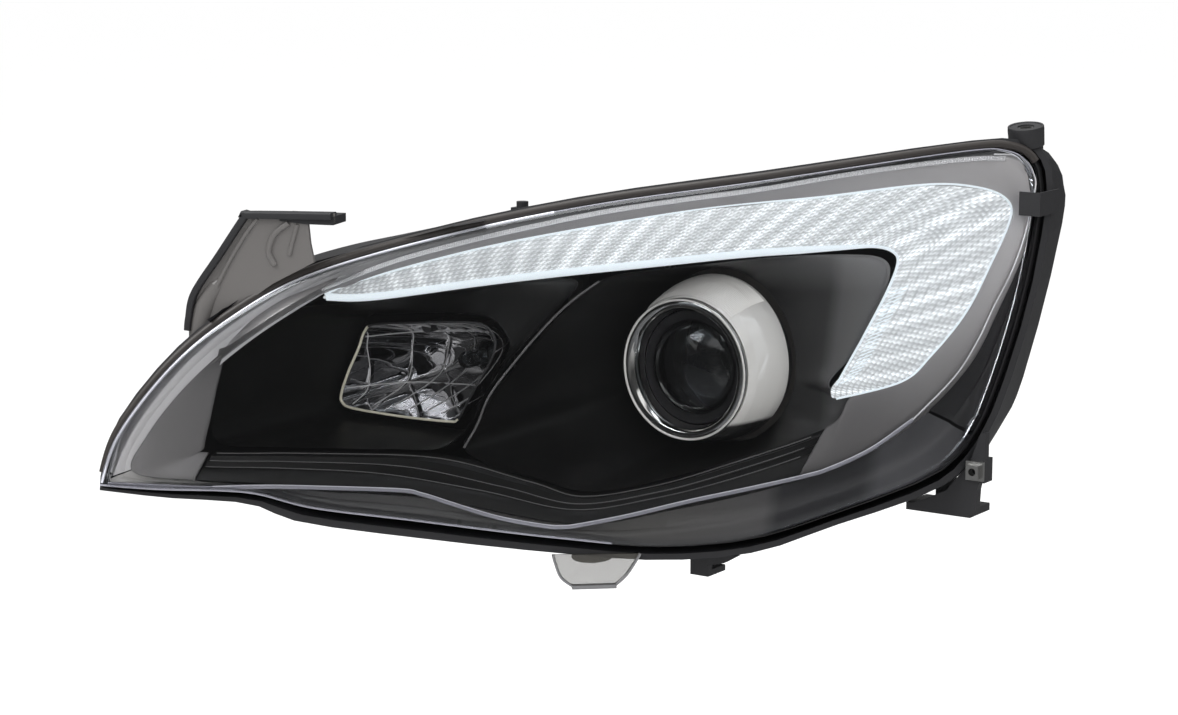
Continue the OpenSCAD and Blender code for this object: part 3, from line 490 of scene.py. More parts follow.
# ---- Clear lens
U = np.concatenate([np.linspace(0, 0.06, 14), np.linspace(0.07, 0.93, 100), np.linspace(0.94, 1, 14)])
V = np.linspace(0, 1, 60)
uu, vv = np.meshgrid(U, V, indexing="ij")
lens_grid = on_face(outline(uu, vv, 0.0), 0.0)
edge_idx = ([(i, 0) for i in range(len(U))] + [(len(U) - 1, j) for j in range(1, len(V))]
            + [(i, len(V) - 1) for i in range(len(U) - 2, -1, -1)]
            + [(0, j) for j in range(len(V) - 2, 0, -1)])
flat = [i * len(V) + j for i, j in edge_idx]
verts = lens_grid.reshape(-1, 3)
faces = [list(f) for f in grid_faces(len(U), len(V), flip=True)]
rows = [flat]
skirt = []
for back_mm in (1.2, 4.0, 8.0, 13.8):
    ring = verts[flat].copy()
    ring[:, 1] += back_mm
    rows.append(list(range(len(verts) + len(flat) * len(skirt), len(verts) + len(flat) * (len(skirt) + 1))))
    skirt.append(ring)
for a, b in zip(rows, rows[1:]):
    n = len(a)
    faces += [[a[k], a[(k + 1) % n], b[(k + 1) % n], b[k]] for k in range(n)]
make("clear_lens", np.concatenate([verts] + skirt), faces, M["lens"], "lens",
     replaces=("outer_lens",), angle=50, thick=2.6, offset=1.0)

# The bead where the lens steps back, with opaque strips painted on as the thin bright line round its lower and
# outer sides
CREASE = [[3, -1], [37, -1], [68, -1], [108, 1], [172, 0], [188, -3], [204, -9], [228, -18],
          [252, -24], [262, -25], [270, -24], [293, -19], [322, -11], [352, -4], [376, 2], [387, 6],
          [405, 17], [423, 35], [436, 55], [443, 69], [449, 88], [453, 106], [458, 126], [461, 146],
          [462, 165], [462, 184], [460, 192], [456, 200], [449, 205], [440, 206], [414, 205],
          [388, 201], [363, 196], [289, 183], [236, 170], [186, 156], [139, 138], [97, 117]]
FORWARD = (0.3, -1, 0)


def strip_on(name, xz, back, section, mat, slot, n=300, closed=False, **kw):
    p = on_face(even(xz, n, closed), back)
    verts, faces = sweep_mesh(p, section, FORWARD, closed)
    return make(name, verts, faces, mat, slot, **kw)


def flat_bead(w, h, n=10):
    a = np.linspace(0, np.pi, n)
    arc = np.stack([w * np.cos(a), h * np.sin(a)], 1)
    return np.concatenate([arc, [[-w, -0.3], [w, -0.3]]])


strip_on("lens_crease_lower", CREASE[:18], 3.2, flat_bead(1.25, 0.5), M["bead"], "lens", n=260)
strip_on("lens_crease_outer", CREASE[17:30], 3.2, flat_bead(0.55, 0.4), M["silver"], "lens", n=200)
strip_on("lens_crease_line", [[x, z + 1.2] for x, z in CREASE[2:18]], 3.0, flat_bead(0.28, 0.3),
         M["edge_light"], "lens", n=240)
# Painted highlight: opaque light and grey strips along the clear lens's upper, far and lower edges.
edge_top = [list(p) for p in outline(np.linspace(0.0, 0.93, 60), np.ones(60), 0.0)]
edge_low = [list(p) for p in outline(np.linspace(0.0, 0.5, 40), np.zeros(40), 0.0)]
strip_on("lens_edge_upper", [[x + 0.8, z - 0.9] for x, z in edge_top[:34]], 0.6, circle(0.9, 12),
         M["edge_light"], "lens", n=260)
strip_on("lens_edge_far", [[x + 0.3, z - 0.8] for x, z in edge_top[33:]], 0.5, circle(0.45, 10),
         M["bead"], "lens", n=260)
strip_on("lens_edge_lower", [[x, z + 0.6] for x, z in edge_low], 0.6, circle(0.75, 12),
         M["bead"], "lens", n=160)

# Lower clear tab of the lens, with thicker rims
TAB = [[-19.9, -42.8], [-18.6, -48], [-14.7, -58.1], [-6.9, -64.3], [21.9, -64.5], [29.7, -57.4],
       [36.9, -46.5], [38.5, -43.4]]
TAB_AT, TAB_TURN = np.array([273.0, 159.0, 0.0]), math.radians(40.5)


def on_tab(s, y, z):
    c, k = math.cos(TAB_TURN), math.sin(TAB_TURN)
    s, y, z = np.broadcast_arrays(np.asarray(s, float), y, z)
    return np.stack([TAB_AT[0] + s * c - y * k, TAB_AT[1] + s * k + y * c, z], -1)


def slab(poly, place, front, depth, holes=()):
    """A plate from a flat outline, with holes, between two depths."""
    loops = [np.asarray(poly, float)] + [np.asarray(h, float) for h in holes]
    pts, edges, start = [], [], 0
    for q in loops:
        pts += [Vector(v) for v in q]
        edges += [(start + i, start + (i + 1) % len(q)) for i in range(len(q))]
        start += len(q)
    out = delaunay_2d_cdt(pts, edges, [], 2 if not holes else 4, 1e-5)
    flat_pts = np.array([[v.x, v.y] for v in out[0]])
    tris = [list(f) for f in out[2]]
    n = len(flat_pts)
    v = np.concatenate([place(flat_pts[:, 0], front, flat_pts[:, 1]),
                        place(flat_pts[:, 0], front + depth, flat_pts[:, 1])])
    f = tris + [[i + n for i in t[::-1]] for t in tris]
    for a, b in out[1]:
        sides = sum(1 for t in tris if a in t and b in t)
        if sides == 1:
            f.append([a, b, b + n, a + n])
    mesh = bmesh.new()
    bv = [mesh.verts.new(q) for q in v]
    for q in f:
        try:
            mesh.faces.new([bv[i] for i in q])
        except ValueError:
            pass
    bmesh.ops.recalc_face_normals(mesh, faces=mesh.faces)
    mesh.verts.index_update()
    res = (np.array([x.co[:] for x in mesh.verts]), [[x.index for x in q.verts] for q in mesh.faces])
    mesh.free()
    return res


tab_poly = TAB
slot_poly = [[x, -47 + z] for x, z in [(-3 + 3 * math.cos(a), 3 * math.sin(a))
             for a in np.linspace(math.pi / 2, 3 * math.pi / 2, 12)]
             + [(16.6 + 3 * math.cos(a), 3 * math.sin(a))
                for a in np.linspace(-math.pi / 2, math.pi / 2, 12)]]
# Painted light: the clear tab is tinted cream for the light seen through it, and its rims are opaque grey as
# painted reflections.
M["tab"] = clear("tab_plastic_painted_light", (0.62, 0.60, 0.55), 0.42, 1.0, rough=0.12)
M["tab_edge_painted_reflection"] = material("tab_edge_painted_reflection", (0.30, 0.30, 0.31), 0.08, 0.6, Coat_Weight=0.8)
v, f = slab(tab_poly, on_tab, 0.6, 2.6, [slot_poly])
make("lens_tab", v, f, M["tab"], "lens", angle=30)
rim_parts = [sweep_mesh(on_tab(even(TAB[:4], 40)[:, 0] + 0.8, 1.4, even(TAB[:4], 40)[:, 1]),
                        circle(1.0, 10), (0.3, -1, 0)),
             sweep_mesh(on_tab(np.linspace(-7, 22, 12), -0.2, -64.2 + 0 * np.arange(12)),
                        [[-1.2, -2.6], [1.2, -2.6], [1.2, 2.6], [-1.2, 2.6]], (0.3, -1, 0)),
             sweep_mesh(on_tab(even(TAB[4:], 30)[:, 0] - 0.8, 1.4, even(TAB[4:], 30)[:, 1]),
                        circle(1.1, 10), (0.3, -1, 0))]
v, f = merged(rim_parts)
make("lens_tab_rim", v, f, M["tab_edge_painted_reflection"], "lens", angle=40)
oval = [[6.8 + 13.5 * math.cos(a), -45.5 + 4.2 * math.sin(a)] for a in np.linspace(0, 2 * math.pi, 40)[:-1]]
v, f = slab(oval, on_tab, 4.0, 3.0)
make("housing_tab_lug", v, f, M["black"], "black", angle=40)

# ---- Black strip, seal and the channel behind the lens's edge
top_line = outline(np.linspace(0.02, 0.9, 220), np.ones(220), 0.36)
p = on_face(top_line, 2.9)
v, f = sweep_mesh(p, [[-2.6, -2.2], [2.6, -2.2], [2.7, 0.4], [1.9, 1.7], [0.3, 2.1], [-1.6, 1.7],
                      [-2.6, 0.3]], FORWARD)
make("top_strip", v, f, M["strip"], "rubber", replaces=("top_weatherstrip",), angle=60)

SHOULDER = [[52, 108], [67, 126], [82, 136], [99, 144.5], [125, 153], [152, 160], [195, 171.5]]
sh = even(SHOULDER, 160)
base = np.stack([sh[:, 0] + 3, np.interp(sh[:, 0] + 3, [q[0] for q in RIM_TOP[2:7]],
                                         [q[1] for q in RIM_TOP[2:7]]) - 3], 1)
rise = np.sin(np.pi * np.clip((sh[:, 0] - 50) / 150, 0, 1)) ** 0.35
top = base + (sh - base) * rise[:, None]
g = []
for share, depth in ((0, 6.5), (0.3, 7.5), (0.36, 9.5), (0.46, 9.5), (0.5, 7.8), (0.8, 12), (1.0, 16),
                     (0.9, 30), (0.2, 44)):
    g.append(on_face(base + (top - base) * share, depth))
sheet("housing_shoulder", np.stack(g, 1), M["black"], "black", thick=1.5, angle=30)

FRAME_OUTER = [[14, 6], [21, 30], [44, 65], [75, 97], [116, 128], [152, 145], [187, 157],
               [222, 167], [258, 176], [296, 183], [335, 189], [380, 198], [424, 204], [445, 204],
               [455, 195], [460, 174], [459, 140], [452, 104], [443, 70], [427, 41], [409, 21],
               [388, 7], [372, 1], [350, -7], [309, -17], [262, -24], [189, -7], [129, -2],
               [88, 1], [54, 2]]
FRAME_INNER = [[51, 22], [53.5, 42], [57, 66], [63, 91], [84, 114.5], [113, 123], [150, 138],
               [192, 151.5], [228, 160.5], [262, 167.5], [300, 174.5], [345, 179.8],
               [400, 186.8], [428, 185.2], [444, 178.5], [451, 166], [447, 140], [438, 102],
               [427, 79], [420, 66], [410, 57], [390, 49], [379, 30], [328, 8], [296, -3],
               [262, -8], [236, 2], [186, 18], [116, 20], [56, 18.5]]


def band(name, t0, t1, profile, mat, slot, n=300, tone=None, **kw):
    """A strip between the frame's outer and inner outlines, with (across, depth) profile."""
    u = np.linspace(t0, t1, n) / 30
    a, b = loop(FRAME_OUTER, u), loop(FRAME_INNER, u)
    g = np.stack([on_face(a + (b - a) * k, back) for k, back in profile], 1)
    if tone:
        kw["values"] = tone(g[..., 0], g[..., 2])
    return sheet(name, g, mat, slot, **kw)


def frame_painted_light(x, z):
    """Painted light and shade on the smoke frame's grey: mid on the left, lit lighter over the top, shaded
    darker to the lower right.
    """
    along = np.interp(x, [0, 30, 60, 90, 200, 330, 455], [0.34, 0.22, 0.17, 0.30, 0.27, 0.34, 0.50])
    down = np.interp(z, [0, 40, 90, 160], [0.30, 0.36, 0.62, 1.0])
    return along * np.where(x > 250, down, 1.0)


def pocket_painted_light(x, z):
    """Black, with painted light turning it smoke grey on the projector pocket's outer wall and under the guide.
    """
    side = np.interp(x, [0, 330, 368, 376, 397], [0.005, 0.006, 0.03, 0.085, 0.12])
    roof = np.interp(z, [0, 118, 142], [0, 0, 1]) * np.interp(x, [190, 400], [0.0, 0.09])
    return side + roof


PROFILE = [(-0.06, 15), (0.0, 10.5), (0.03, 8.2), (0.06, 7.6), (0.2, 8.2), (0.4, 10.0), (0.6, 11.8),
           (0.8, 13.6), (0.94, 14.9), (1.0, 15.6), (1.06, 16.4)]
band("frame_upper", -1.0, 22.0, PROFILE, M["frame_grey_painted_light"], "trim", n=480, tone=frame_painted_light,
     replaces=("decor_frame",), thick=1.6, flip=False)
LEDGE = [(-0.1, 15), (0.0, 10.5), (0.06, 8.5), (0.3, 10.5), (0.5, 13.5), (0.52, 15.2), (0.70, 16.0),
         (0.72, 18.0), (0.90, 19.0), (0.92, 21.0), (1.05, 24.0)]
band("frame_lower", 22.0, 29.0, LEDGE, M["bezel"], "bezel", n=300, thick=1.6)
lip = loop(FRAME_INNER, np.linspace(22.2, 28.95, 160) / 30)
low = loop(FRAME_OUTER, np.linspace(22.2, 28.95, 160) / 30)
for k, share, r in ((0, 0.98, 0.34), (1, 0.74, 0.3), (2, 0.54, 0.3)):
    p = on_face(low + (lip - low) * share, (22.0, 16.3, 13.2)[k])
    v, f = sweep_mesh(p, circle(r, 8), FORWARD)
    make(f"ledge_line_{k}", v, f, M["trim"], "bezel", angle=60)

outer_edge = edge_curve(0.02, 520)
near = loop(FRAME_OUTER, np.linspace(0, 1, 1200, endpoint=False))


def channel(name, pick, depth, mat, slot, back=(9.5, 12.0, 13.0)):
    pts = outer_edge[pick]
    mids = []
    for q in pts:
        d = np.linalg.norm(near - q, axis=1)
        mids.append(near[d.argmin()])
    mids = np.array(mids)
    g = [on_face(pts + (mids - pts) * share, depth)
         for share, depth in ((0, back[0]), (0.30, back[1] - 2), (0.45, back[1] - 0.5),
                              (0.5, back[2]), (0.8, back[2] + 0.5), (1.25, back[2] + 1.5))]
    return sheet(name, np.stack(g, 1), mat, slot)


is_low = (outer_edge[:, 1] < np.interp(outer_edge[:, 0], [0, 60, 420, 470], [2, 5, 12, 30]))
ids = np.arange(len(outer_edge))
low_ids = ids[is_low]
high_ids = ids[~is_low]
cut = np.flatnonzero(np.diff(high_ids) > 1)
if len(cut):
    high_ids = np.concatenate([high_ids[cut[0] + 1:], high_ids[:cut[0] + 1]])
cut = np.flatnonzero(np.diff(low_ids) > 1)
if len(cut):
    low_ids = np.concatenate([low_ids[cut[0] + 1:], low_ids[:cut[0] + 1]])
channel("channel_upper", high_ids, 12, M["channel"], "black")
channel("channel_lower", low_ids, 12, M["lower"], "black")

# Serrated bright line along the frame's upper edge
line = even(FRAME_OUTER[4:14], 1100)
wave = 0.45 * (np.arange(1100) % 4 >= 2)
g = np.stack([on_face(line + [0, 0.6], 6.9), on_face(line + [0, 0.3], 6.2 - wave),
              on_face(line + [0, -2.4], 6.6 - wave), on_face(line + [0, -2.8], 7.6)], 1)
sheet("serrated_line", g, M["silver"], "trim", angle=20)

# ---- Black pockets round the two lamps
HIGH_RIM = [[57, 79], [70, 101], [92, 112], [130, 117], [165, 122], [196, 126], [228, 131],
            [243, 128], [238, 115], [228, 100], [215, 79], [203, 56], [198, 40], [186, 24],
            [158, 23], [125, 23], [90, 23], [60, 24], [52, 36], [53, 56]]
HIGH_BACK = [23, 23, 22, 22, 22, 22, 22, 28, 29, 29, 29, 29, 29, 24, 23, 23, 23, 23, 23, 23]
HIGH_MOUTH = [[86.4, 79.4], [96.5, 97.5], [118, 101], [142, 104], [165, 106], [188, 107], [204, 104],
    [215, 91], [211, 79.5], [205.2, 69.4], [198.2, 57.4], [190.2, 44.4], [183.8, 33.8], [175, 28],
    [150, 28], [130, 28], [106, 28], [80, 29], [70, 38], [75, 56]]
LOW_RIM = [[243, 116], [254, 128], [268, 134], [300, 138], [340, 142], [374, 142], [392, 138],
           [396, 124], [390, 98], [384, 76], [376, 58], [392, 44], [388, 24], [350, 13],
           [318, 6], [286, -3], [262, -5], [240, 3], [214, 12], [196, 24], [203, 40], [208, 57],
           [220, 79], [233, 101]]
LOW_BACK = [30, 29, 23, 23, 23, 23, 23, 23, 23, 23, 23, 23, 23, 23, 23, 23, 23, 23, 24, 28,
            30, 30, 30, 30]


def pocket(name, rim, depths, mouth, y, node, n=360, m=40):
    u = np.arange(n) / n
    a, b = loop(rim, u), loop(mouth, u)
    d = loop([[q, 0] for q in depths], u)[:, 0]
    rows = []
    for t in np.linspace(0, 1, m):
        q = a + (b - a) * t ** 1.3
        depth = (face(a[:, 0], a[:, 1]) + d) * (1 - t ** 0.8) + y * t ** 0.8
        rows.append(np.stack([q[:, 0], depth, q[:, 1]], 1))
    lip_q = a + 0.03 * (a - b)
    rows.insert(0, np.stack([lip_q[:, 0], face(a[:, 0], a[:, 1]) + d + 1.2, lip_q[:, 1]], 1))
    end = rows[-1].copy()
    end[:, 1] += 4
    rows.append(end)
    g = np.stack(rows, 1)
    return sheet(name, g, M["pocket"], "bezel", wrap_n=True, replaces=(node,),
                 values=pocket_painted_light(g[..., 0], g[..., 2]))


pocket("high_beam_pocket", HIGH_RIM, HIGH_BACK, HIGH_MOUTH, 160, "high_beam_bezel")
mid = np.array([294.0, 68.0])
round_mouth = [list(mid + 57.5 * (np.array(q) - mid) / np.linalg.norm(np.array(q) - mid))
               for q in LOW_RIM]
round_mouth = [[x, z + 0.09 * max(z - 68, 0) * np.interp(x, [252, 272], [0.35, 1])]
               for x, z in round_mouth]
pocket("projector_pocket", LOW_RIM, LOW_BACK, round_mouth, 297, "projector_bezel")
RIDGE = [[196, 23], [202, 38], [207, 57], [219, 80], [232, 102], [243, 117], [255, 129]]
p = on_face(even(RIDGE, 120), 28.2)
v, f = sweep_mesh(p, circle(0.8, 10), FORWARD)
make("pocket_ridge", v, f, M["trim"], "bezel", angle=60)

# ---- Light guide: prisms with painted glints and hot spots, and the smooth lower bar
GUIDE_TOP = [[113, 122], [131, 131], [192, 151], [251, 165], [308, 176], [360, 181], [408, 187],
             [432, 184], [446, 176], [450, 163], [445, 134], [437, 102], [424, 75], [412, 59],
             [383, 50]]
GUIDE_UNDER = [[113, 119], [140, 120], [196, 129], [239, 135], [283, 140], [330, 145], [374, 147],
               [390, 147], [399, 143], [402, 135], [399, 116], [392, 90], [386, 70], [380, 58],
               [380, 52]]
NU, NV = 1100, 46
gu = np.linspace(0, 1, NU)
lo_c, hi_c = spline(GUIDE_UNDER, gu), spline(GUIDE_TOP, gu)
gv = np.linspace(0, 1, NV)
grid = lo_c[:, None] + (hi_c - lo_c)[:, None] * gv[None, :, None]
mid_line = grid[:, NV // 2]
s_len = np.concatenate([[0], np.cumsum(np.linalg.norm(np.diff(mid_line, axis=0), axis=1))])
wide = np.linalg.norm(hi_c - lo_c, axis=1)
w_mm = wide[:, None] * gv[None, :]
ROW, PITCH = 2.7, 3.3
row_id = np.floor(w_mm / ROW)
phase = (s_len[:, None] - 1.1 * w_mm) / PITCH + 0.43 * row_id
across = np.clip(np.sin(np.pi * ((w_mm / ROW) % 1.0)) * 1.5, 0, 1)
prism = (phase % 1.0) * across
beat = 0.5 + 0.5 * np.cos(2 * np.pi * s_len / 13.5)
spot = np.repeat(rng.uniform(0.35, 1.0, 80), 14)[:NU]
spot = np.convolve(spot, np.ones(15) / 15, "same")
lit = np.interp(s_len, [0, 40, 90, 170, 300, 420], [0.30, 0.45, 0.60, 0.78, 0.85, 0.80])
# Painted light: emission makes each prism's face glint, adds spaced hot spots along the guide and random
# sparkle.
painted_glow = (lit * (0.45 + 0.75 * beat ** 1.5 * spot))[:, None] * (0.22 + 1.15 * prism ** 0.9)
painted_glow += 0.30 * rng.uniform(0, 1, painted_glow.shape) ** 3 * (prism > 0.5)
inside = np.clip(np.minimum(gv, 1 - gv)[None, :] * wide[:, None] / 2.0, 0, 1)
back = 17 - 2 * np.sin(np.pi * gv)[None, :] - 1.0 * prism * inside
front = on_face(grid, back)
rear_grid = on_face(grid, 21.5 + 0 * back)
ring = [front[:, k] for k in range(NV)]
ring = [rear_grid[:, 0]] + ring + [rear_grid[:, -1]]
painted_glow = np.concatenate([painted_glow[:, :1], painted_glow, painted_glow[:, -1:]], 1)
sheet("light_guide", np.stack(ring, 1), M["guide"], "guide", replaces=("drl_light_guide",),
      angle=25, flip=True, values=painted_glow)
# The bar, rim and rib strands are painted bright by emission.
bar_line = even([[114, 119.6]] + GUIDE_UNDER[1:12] + [[389, 80], [382, 58]], 420) + [0.3, 1.0]
v, f = sweep_mesh(on_face(bar_line, 15.6), circle(2.5, 16, 0.7), FORWARD)
v = v.reshape(420, 16, 3)
spine = v.mean(axis=1, keepdims=True)
taper = np.interp(np.arange(420), [0, 270, 310, 419], [1, 1, 0.42, 0.3])[:, None, None]
v = (spine + (v - spine) * taper).reshape(-1, 3)
make("guide_bar", v, f, M["guide_bar"], "guide", angle=60)
v, f = sweep_mesh(on_face(even(GUIDE_TOP, 300), 15.8), circle(0.75, 10), FORWARD)
make("guide_rim", v, f, M["guide_bar"], "guide", angle=60)
leg = even([[400, 118], [393, 92], [387, 71], [382, 60]], 24)
parts = [sweep_mesh(on_face(np.array([[x + 2.2, z], [x + 9.0, z + 3.6]]), 15.0), circle(0.34, 8), FORWARD)
         for x, z in leg]
v, f = merged(parts)
make("guide_leg_ribs", v, f, M["guide_bar"], "guide", angle=60)

# ---- High beam reflector
REFLECTOR_RIM = [[92.6, 76], [97.7, 87.6], [106.4, 93.4], [142, 98], [184, 102], [198, 101], [205.6, 95],
    [206.3, 86.3], [201.2, 75.5], [191.2, 60.5], [181.2, 44.5], [175.5, 36], [168, 34], [130, 33], [88, 34],
    [78, 37], [77, 43], [83, 58]]
HIGH = np.array([146.0, 230.0, 66.0])
NA, NT = 720, 150
au = np.arange(NA) / NA
rim_c = loop(REFLECTOR_RIM, au)
centre = HIGH[[0, 2]]
unit = (rim_c - centre) / np.linalg.norm(rim_c - centre, axis=1)[:, None]
ts = np.linspace(0, 1, NT)
g = []
for t in ts:
    q = centre + 10.5 * unit + t * (rim_c - centre - 10.5 * unit)
    y = HIGH[1] + (156.0 - HIGH[1]) * t ** 1.7
    g.append(np.stack([q[:, 0], y + 0 * q[:, 0], q[:, 1]], 1))
g = np.stack(g, 1)
x, z = g[..., 0], g[..., 2]
lean = x - 0.30 * (z - 66)
col = np.array([70, 92, 106, 120, 134, 148, 162, 176, 192, 215], float)
rowz = np.array([20, 47, 84, 110], float)
ci = np.clip(np.searchsorted(col, lean) - 1, 0, len(col) - 2)
ri = np.clip(np.searchsorted(rowz, z) - 1, 0, len(rowz) - 2)
cu = (lean - col[ci]) / (col[ci + 1] - col[ci])
rv = (z - rowz[ri]) / (rowz[ri + 1] - rowz[ri])
pillow = 16 * cu * (1 - cu) * rv * (1 - rv)
gap_u = np.minimum(cu, 1 - cu) * (col[ci + 1] - col[ci])
gap_v = np.minimum(rv, 1 - rv) * (rowz[ri + 1] - rowz[ri])
seam = np.exp(-(np.minimum(gap_u, gap_v) / 0.55) ** 2)
fade = np.clip((1 - ts) * 14, 0, 1)[None, :]
g[..., 1] += fade * (0.45 * np.sqrt(np.clip(pillow, 0, 1)) - 0.3 * seam)
sheet("faceted_reflector", g, M["dish"], "chrome", wrap_n=True, body="optics", flip=True,
      replaces=("high_reflector",), angle=12)


def dish_point(x, z, lift=0.0):
    q = np.stack([x, z], -1) - centre
    rho = np.linalg.norm(q, axis=-1)
    turn = np.arctan2(q[..., 1], q[..., 0])
    rim_turn = np.arctan2(rim_c[:, 1] - centre[1], rim_c[:, 0] - centre[0])
    order = np.argsort(rim_turn)
    reach = np.interp(turn, rim_turn[order], np.linalg.norm(rim_c - centre, axis=1)[order],
                      period=2 * math.pi)
    t = np.clip((rho - 10.5) / (reach - 10.5), 0, 1)
    return np.stack([x, HIGH[1] + (156.0 - HIGH[1]) * t ** 1.7 - lift, z], -1), t


# Painted highlight: bright satin silver ridges along the reflector's facet seams.
seams = []
for lean0 in (92, 106, 120, 134, 148, 162, 176, 192):
    zz = np.linspace(36, 100, 90)
    xx = lean0 + 0.30 * (zz - 66) + 0 * zz
    pts, t = dish_point(xx, zz, 0.6)
    keep = (t < 0.985) & (t > 0.02)
    run = np.flatnonzero(keep)
    for part in np.split(run, np.flatnonzero(np.diff(run) > 1) + 1):
        if len(part) > 6:
            seams.append(sweep_mesh(pts[part], circle(0.42, 8), (0, -1, 0.1)))
for z0 in (47.0, 84.0):
    xx = np.linspace(76, 208, 160)
    pts, t = dish_point(xx, z0 + 0 * xx, 0.6)
    run = np.flatnonzero((t < 0.985) & (t > 0.02))
    for part in np.split(run, np.flatnonzero(np.diff(run) > 1) + 1):
        if len(part) > 6:
            seams.append(sweep_mesh(pts[part], circle(0.42, 8), (0, -1, 0.1)))
v, f = merged(seams)
make("reflector_seams", v, f, M["silver"], "chrome", body="optics", angle=60)
rim_all = np.stack([even(REFLECTOR_RIM, 240, True)[:, 0], np.full(240, 155.4),
                    even(REFLECTOR_RIM, 240, True)[:, 1]], 1)
# Painted highlight: a cream copy of the rim over its left and lower run.
highlit_span = np.concatenate([np.arange(138, 240), np.arange(0, 14)])
v, f = sweep_mesh(rim_all[highlit_span], [[-0.8, -0.5], [0.8, -0.5], [0.8, 0.5], [0.4, 0.9], [-0.4, 0.9],
                                    [-0.8, 0.5]], (0, -1, 0))
make("reflector_rim_painted_highlight", v, f, M["rim_highlight_paint"], "chrome", body="optics", angle=50)
v, f = sweep_mesh(rim_all,
                  [[-0.7, -0.5], [0.7, -0.5], [0.7, 0.3], [0.4, 0.6], [-0.4, 0.6], [-0.7, 0.3]],
                  (0, -1, 0), closed=True)
make("reflector_rim", v, f, M["cast"], "chrome", body="optics", angle=50)
posts = []
for i, root in enumerate((204.5, 189.7, 199.9, 194.9)):
    a = math.radians(45 + 90 * i)
    c = (HIGH[0] + 32 * math.cos(a), root + 1, HIGH[2] + 32 * math.sin(a))
    length = 261.9 - root - 1
    posts.append(revolve([(0.01, 0), (4, 0), (4, length), (0.01, length)], c, 24))
posts.append(revolve([(9.7, 1), (14, 1), (14, 10), (9.7, 10)], HIGH, 48, closed=True))
v, f = merged(posts)
make("reflector_posts", v, f, M["cast"], "cast", body="optics", angle=40)

# ---- Projector: ring, glass and shroud
PROJ = np.array([292.0, 250.0, 67.0])
v, f = revolve(rounded([[47.5, 2.5], [46.3, 0.6], [44.3, 0], [42, 0.8], [40.2, 3], [38.5, 14],
                        [40.2, 14], [42, 4.6], [44.5, 3], [46.5, 4], [47.5, 4]], 0.5, 4), PROJ, 180,
               closed=True)
make("chrome_ring", v, f, M["chrome"], "chrome", body="optics", replaces=("projector_ring",),
     angle=60)
dome_p = [(0.01, 0.5)] + [(r, 0.5 + 16 * (1 - math.sqrt(max(0, 1 - (r / 33.2) ** 2))) ** 0.95)
                          for r in np.linspace(2, 32.9, 34)] + [(33, 18), (33, 20), (0.01, 20)]
v, f = revolve(dome_p, PROJ, 160)
make("projector_glass", v, f, M["glass"], "glass", body="optics", replaces=("projector_lens",),
     angle=50)
shroud = [[48, 4.3], [50.5, 12], [52.5, 24], [53.8, 36], [54.2, 47], [52.6, 47], [51, 30],
          [48.6, 14], [46.6, 5.2]]
v, f = revolve(rounded(shroud, 0.6, 4), PROJ, 200, closed=True)


def raised(v):
    rise = np.clip(v[:, 2] - PROJ[2], 0, None) * 0.09 * np.clip((v[:, 1] - PROJ[1]) / 30, 0, 1)
    return np.stack([v[:, 0], v[:, 1], v[:, 2] + rise], 1)


v = raised(v)
make("chrome_shroud", v, f, M["shroud"], "chrome", body="optics", replaces=("projector_shroud",),
     angle=60)
# Painted highlight: a bright white torus on the chrome ring's outer edge.
v, f = revolve([(46.9 + 0.75 * math.cos(a), 0.75 + 0.75 * math.sin(a))
                for a in np.linspace(0, 2 * math.pi, 13)[:-1]], PROJ, 180, closed=True)
make("ring_edge_painted_highlight", v, f, M["ring_highlight_paint"], "chrome", body="optics", angle=60)
hatch = []
for y0 in np.arange(7, 44, 1.5):
    r = np.interp(y0, [4.3, 12, 24, 36, 47], [48, 50.5, 52.5, 53.8, 54.2]) + 0.1
    a = np.linspace(math.radians(48), math.radians(132), 60)
    hatch.append(sweep_mesh(np.stack([PROJ[0] + r * np.cos(a), PROJ[1] + y0 + 0 * a,
                                      PROJ[2] + r * np.sin(a)], 1), circle(0.32, 6), (0, 1, 0)))
v, f = merged(hatch)
v = raised(v)
make("shroud_hatch", v, f, M["shroud"], "chrome", body="optics", angle=60)

# ---- Inner arm bracket
ARM_AT, ARM_TURN = np.array([70.0, 60.0, 0.0]), math.radians(17)


def on_arm(s, y, z):
    c, k = math.cos(ARM_TURN), math.sin(ARM_TURN)
    s, y, z = np.broadcast_arrays(np.asarray(s, float), y, z)
    return np.stack([ARM_AT[0] + s * c - y * k, ARM_AT[1] + s * k + y * c, z], -1)


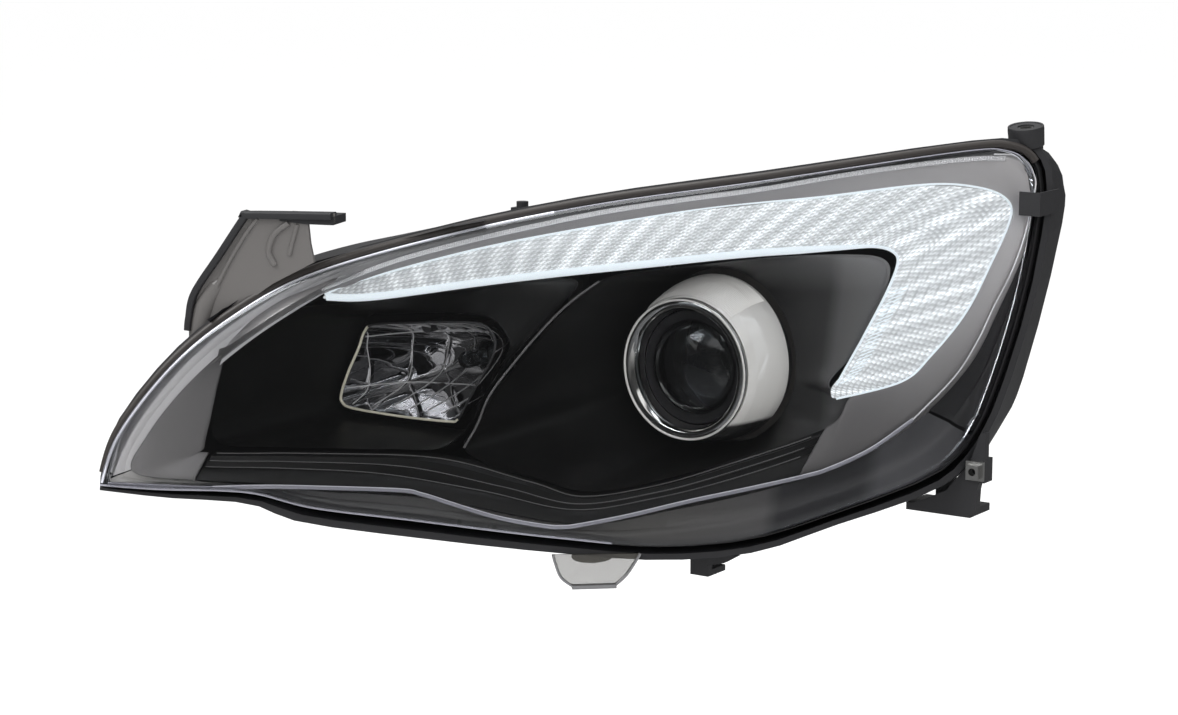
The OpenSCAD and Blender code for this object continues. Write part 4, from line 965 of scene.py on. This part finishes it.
ARM = [[-36, 105.7], [-30.5, 124.5], [6.1, 176.4], [67.2, 178], [67.2, 171.5], [49.3, 170.4],
       [50.5, 158], [53, 146], [24.2, 131], [-3, 112], [-28, 90], [-36.4, 90]]
v, f = slab(ARM, on_arm, 1.2, 2.6)
arm_parts = [(v, f)]
M["arm"] = material("arm_grey", (0.105, 0.10, 0.097), 0.30, grain=0.12, vary=0.06)
make("arm_panel", v, f, M["arm"], "grey", replaces=("inner_arm_bracket",), angle=30)
flange = even([[-36.0, 99], [-35, 107], [-30.5, 124], [-12, 150], [5.5, 174.5], [8, 176.2], [66.5, 177.6]], 120)
v, f = sweep_mesh(on_arm(flange[:, 0], 0.6, flange[:, 1] - 1.2),
                  rounded([[-2.2, -7], [2.2, -7], [2.2, 3.4], [-2.2, 3.4]], 0.8, 4), (0.29, -0.96, 0))
make("arm_flange", v, f, M["black"], "grey", angle=50)
ribs = []
for pts, r in (([[14, 173], [4, 160], [-8, 141], [-18, 122], [-24, 108]], 1.5),
               ([[36, 171], [26, 163], [22, 152], [26, 143]], 2.0),
               ([[42, 170], [39, 160], [36, 150]], 1.4)):
    q = even(pts, 60)
    ribs.append(sweep_mesh(on_arm(q[:, 0], 1.0, q[:, 1]), circle(r, 14), (0.29, -0.96, 0)))
barrel = even([[-33.5, 90], [-33, 100], [-28, 116], [-16, 134]], 60)
bv, bf = sweep_mesh(on_arm(barrel[:, 0] + 4, 3.5, barrel[:, 1]), circle(7.0, 28, 0.8), (0.29, -0.96, 0))
bv = bv.reshape(60, 28, 3)
axis = bv.mean(axis=1, keepdims=True)
close = np.interp(np.arange(60), [0, 30, 50, 57, 59], [1, 1, 0.7, 0.3, 0.02])[:, None, None]
ribs.append(((axis + (bv - axis) * close).reshape(-1, 3), bf))
v, f = merged(ribs)
make("arm_ribs", v, f, M["arm"], "grey", angle=50)
tab_top = [[50, 170.6], [67.2, 170.6], [67.2, 176.1], [30, 176.1], [30, 172]]
v, f = slab(tab_top, on_arm, 0.0, 22.0)
make("arm_tab", v, f, M["black"], "grey", angle=30)

# ---- Upper ear cup
tilt = Matrix.Rotation(math.radians(10), 3, "X")
v, f = revolve(rounded([[12, -9], [12.4, 2], [12.2, 4.6], [10.6, 4.6], [9.6, -1], [4.3, -1.4],
                        [4.3, -9]], 0.5, 4), (0, 0, 0), 96, closed=True)
v = np.array([tilt @ Vector((p[0], p[2], p[1])) for p in v]) + DATUM
make("ear_cup", v, [q[::-1] for q in f], M["black"], "black", angle=40)
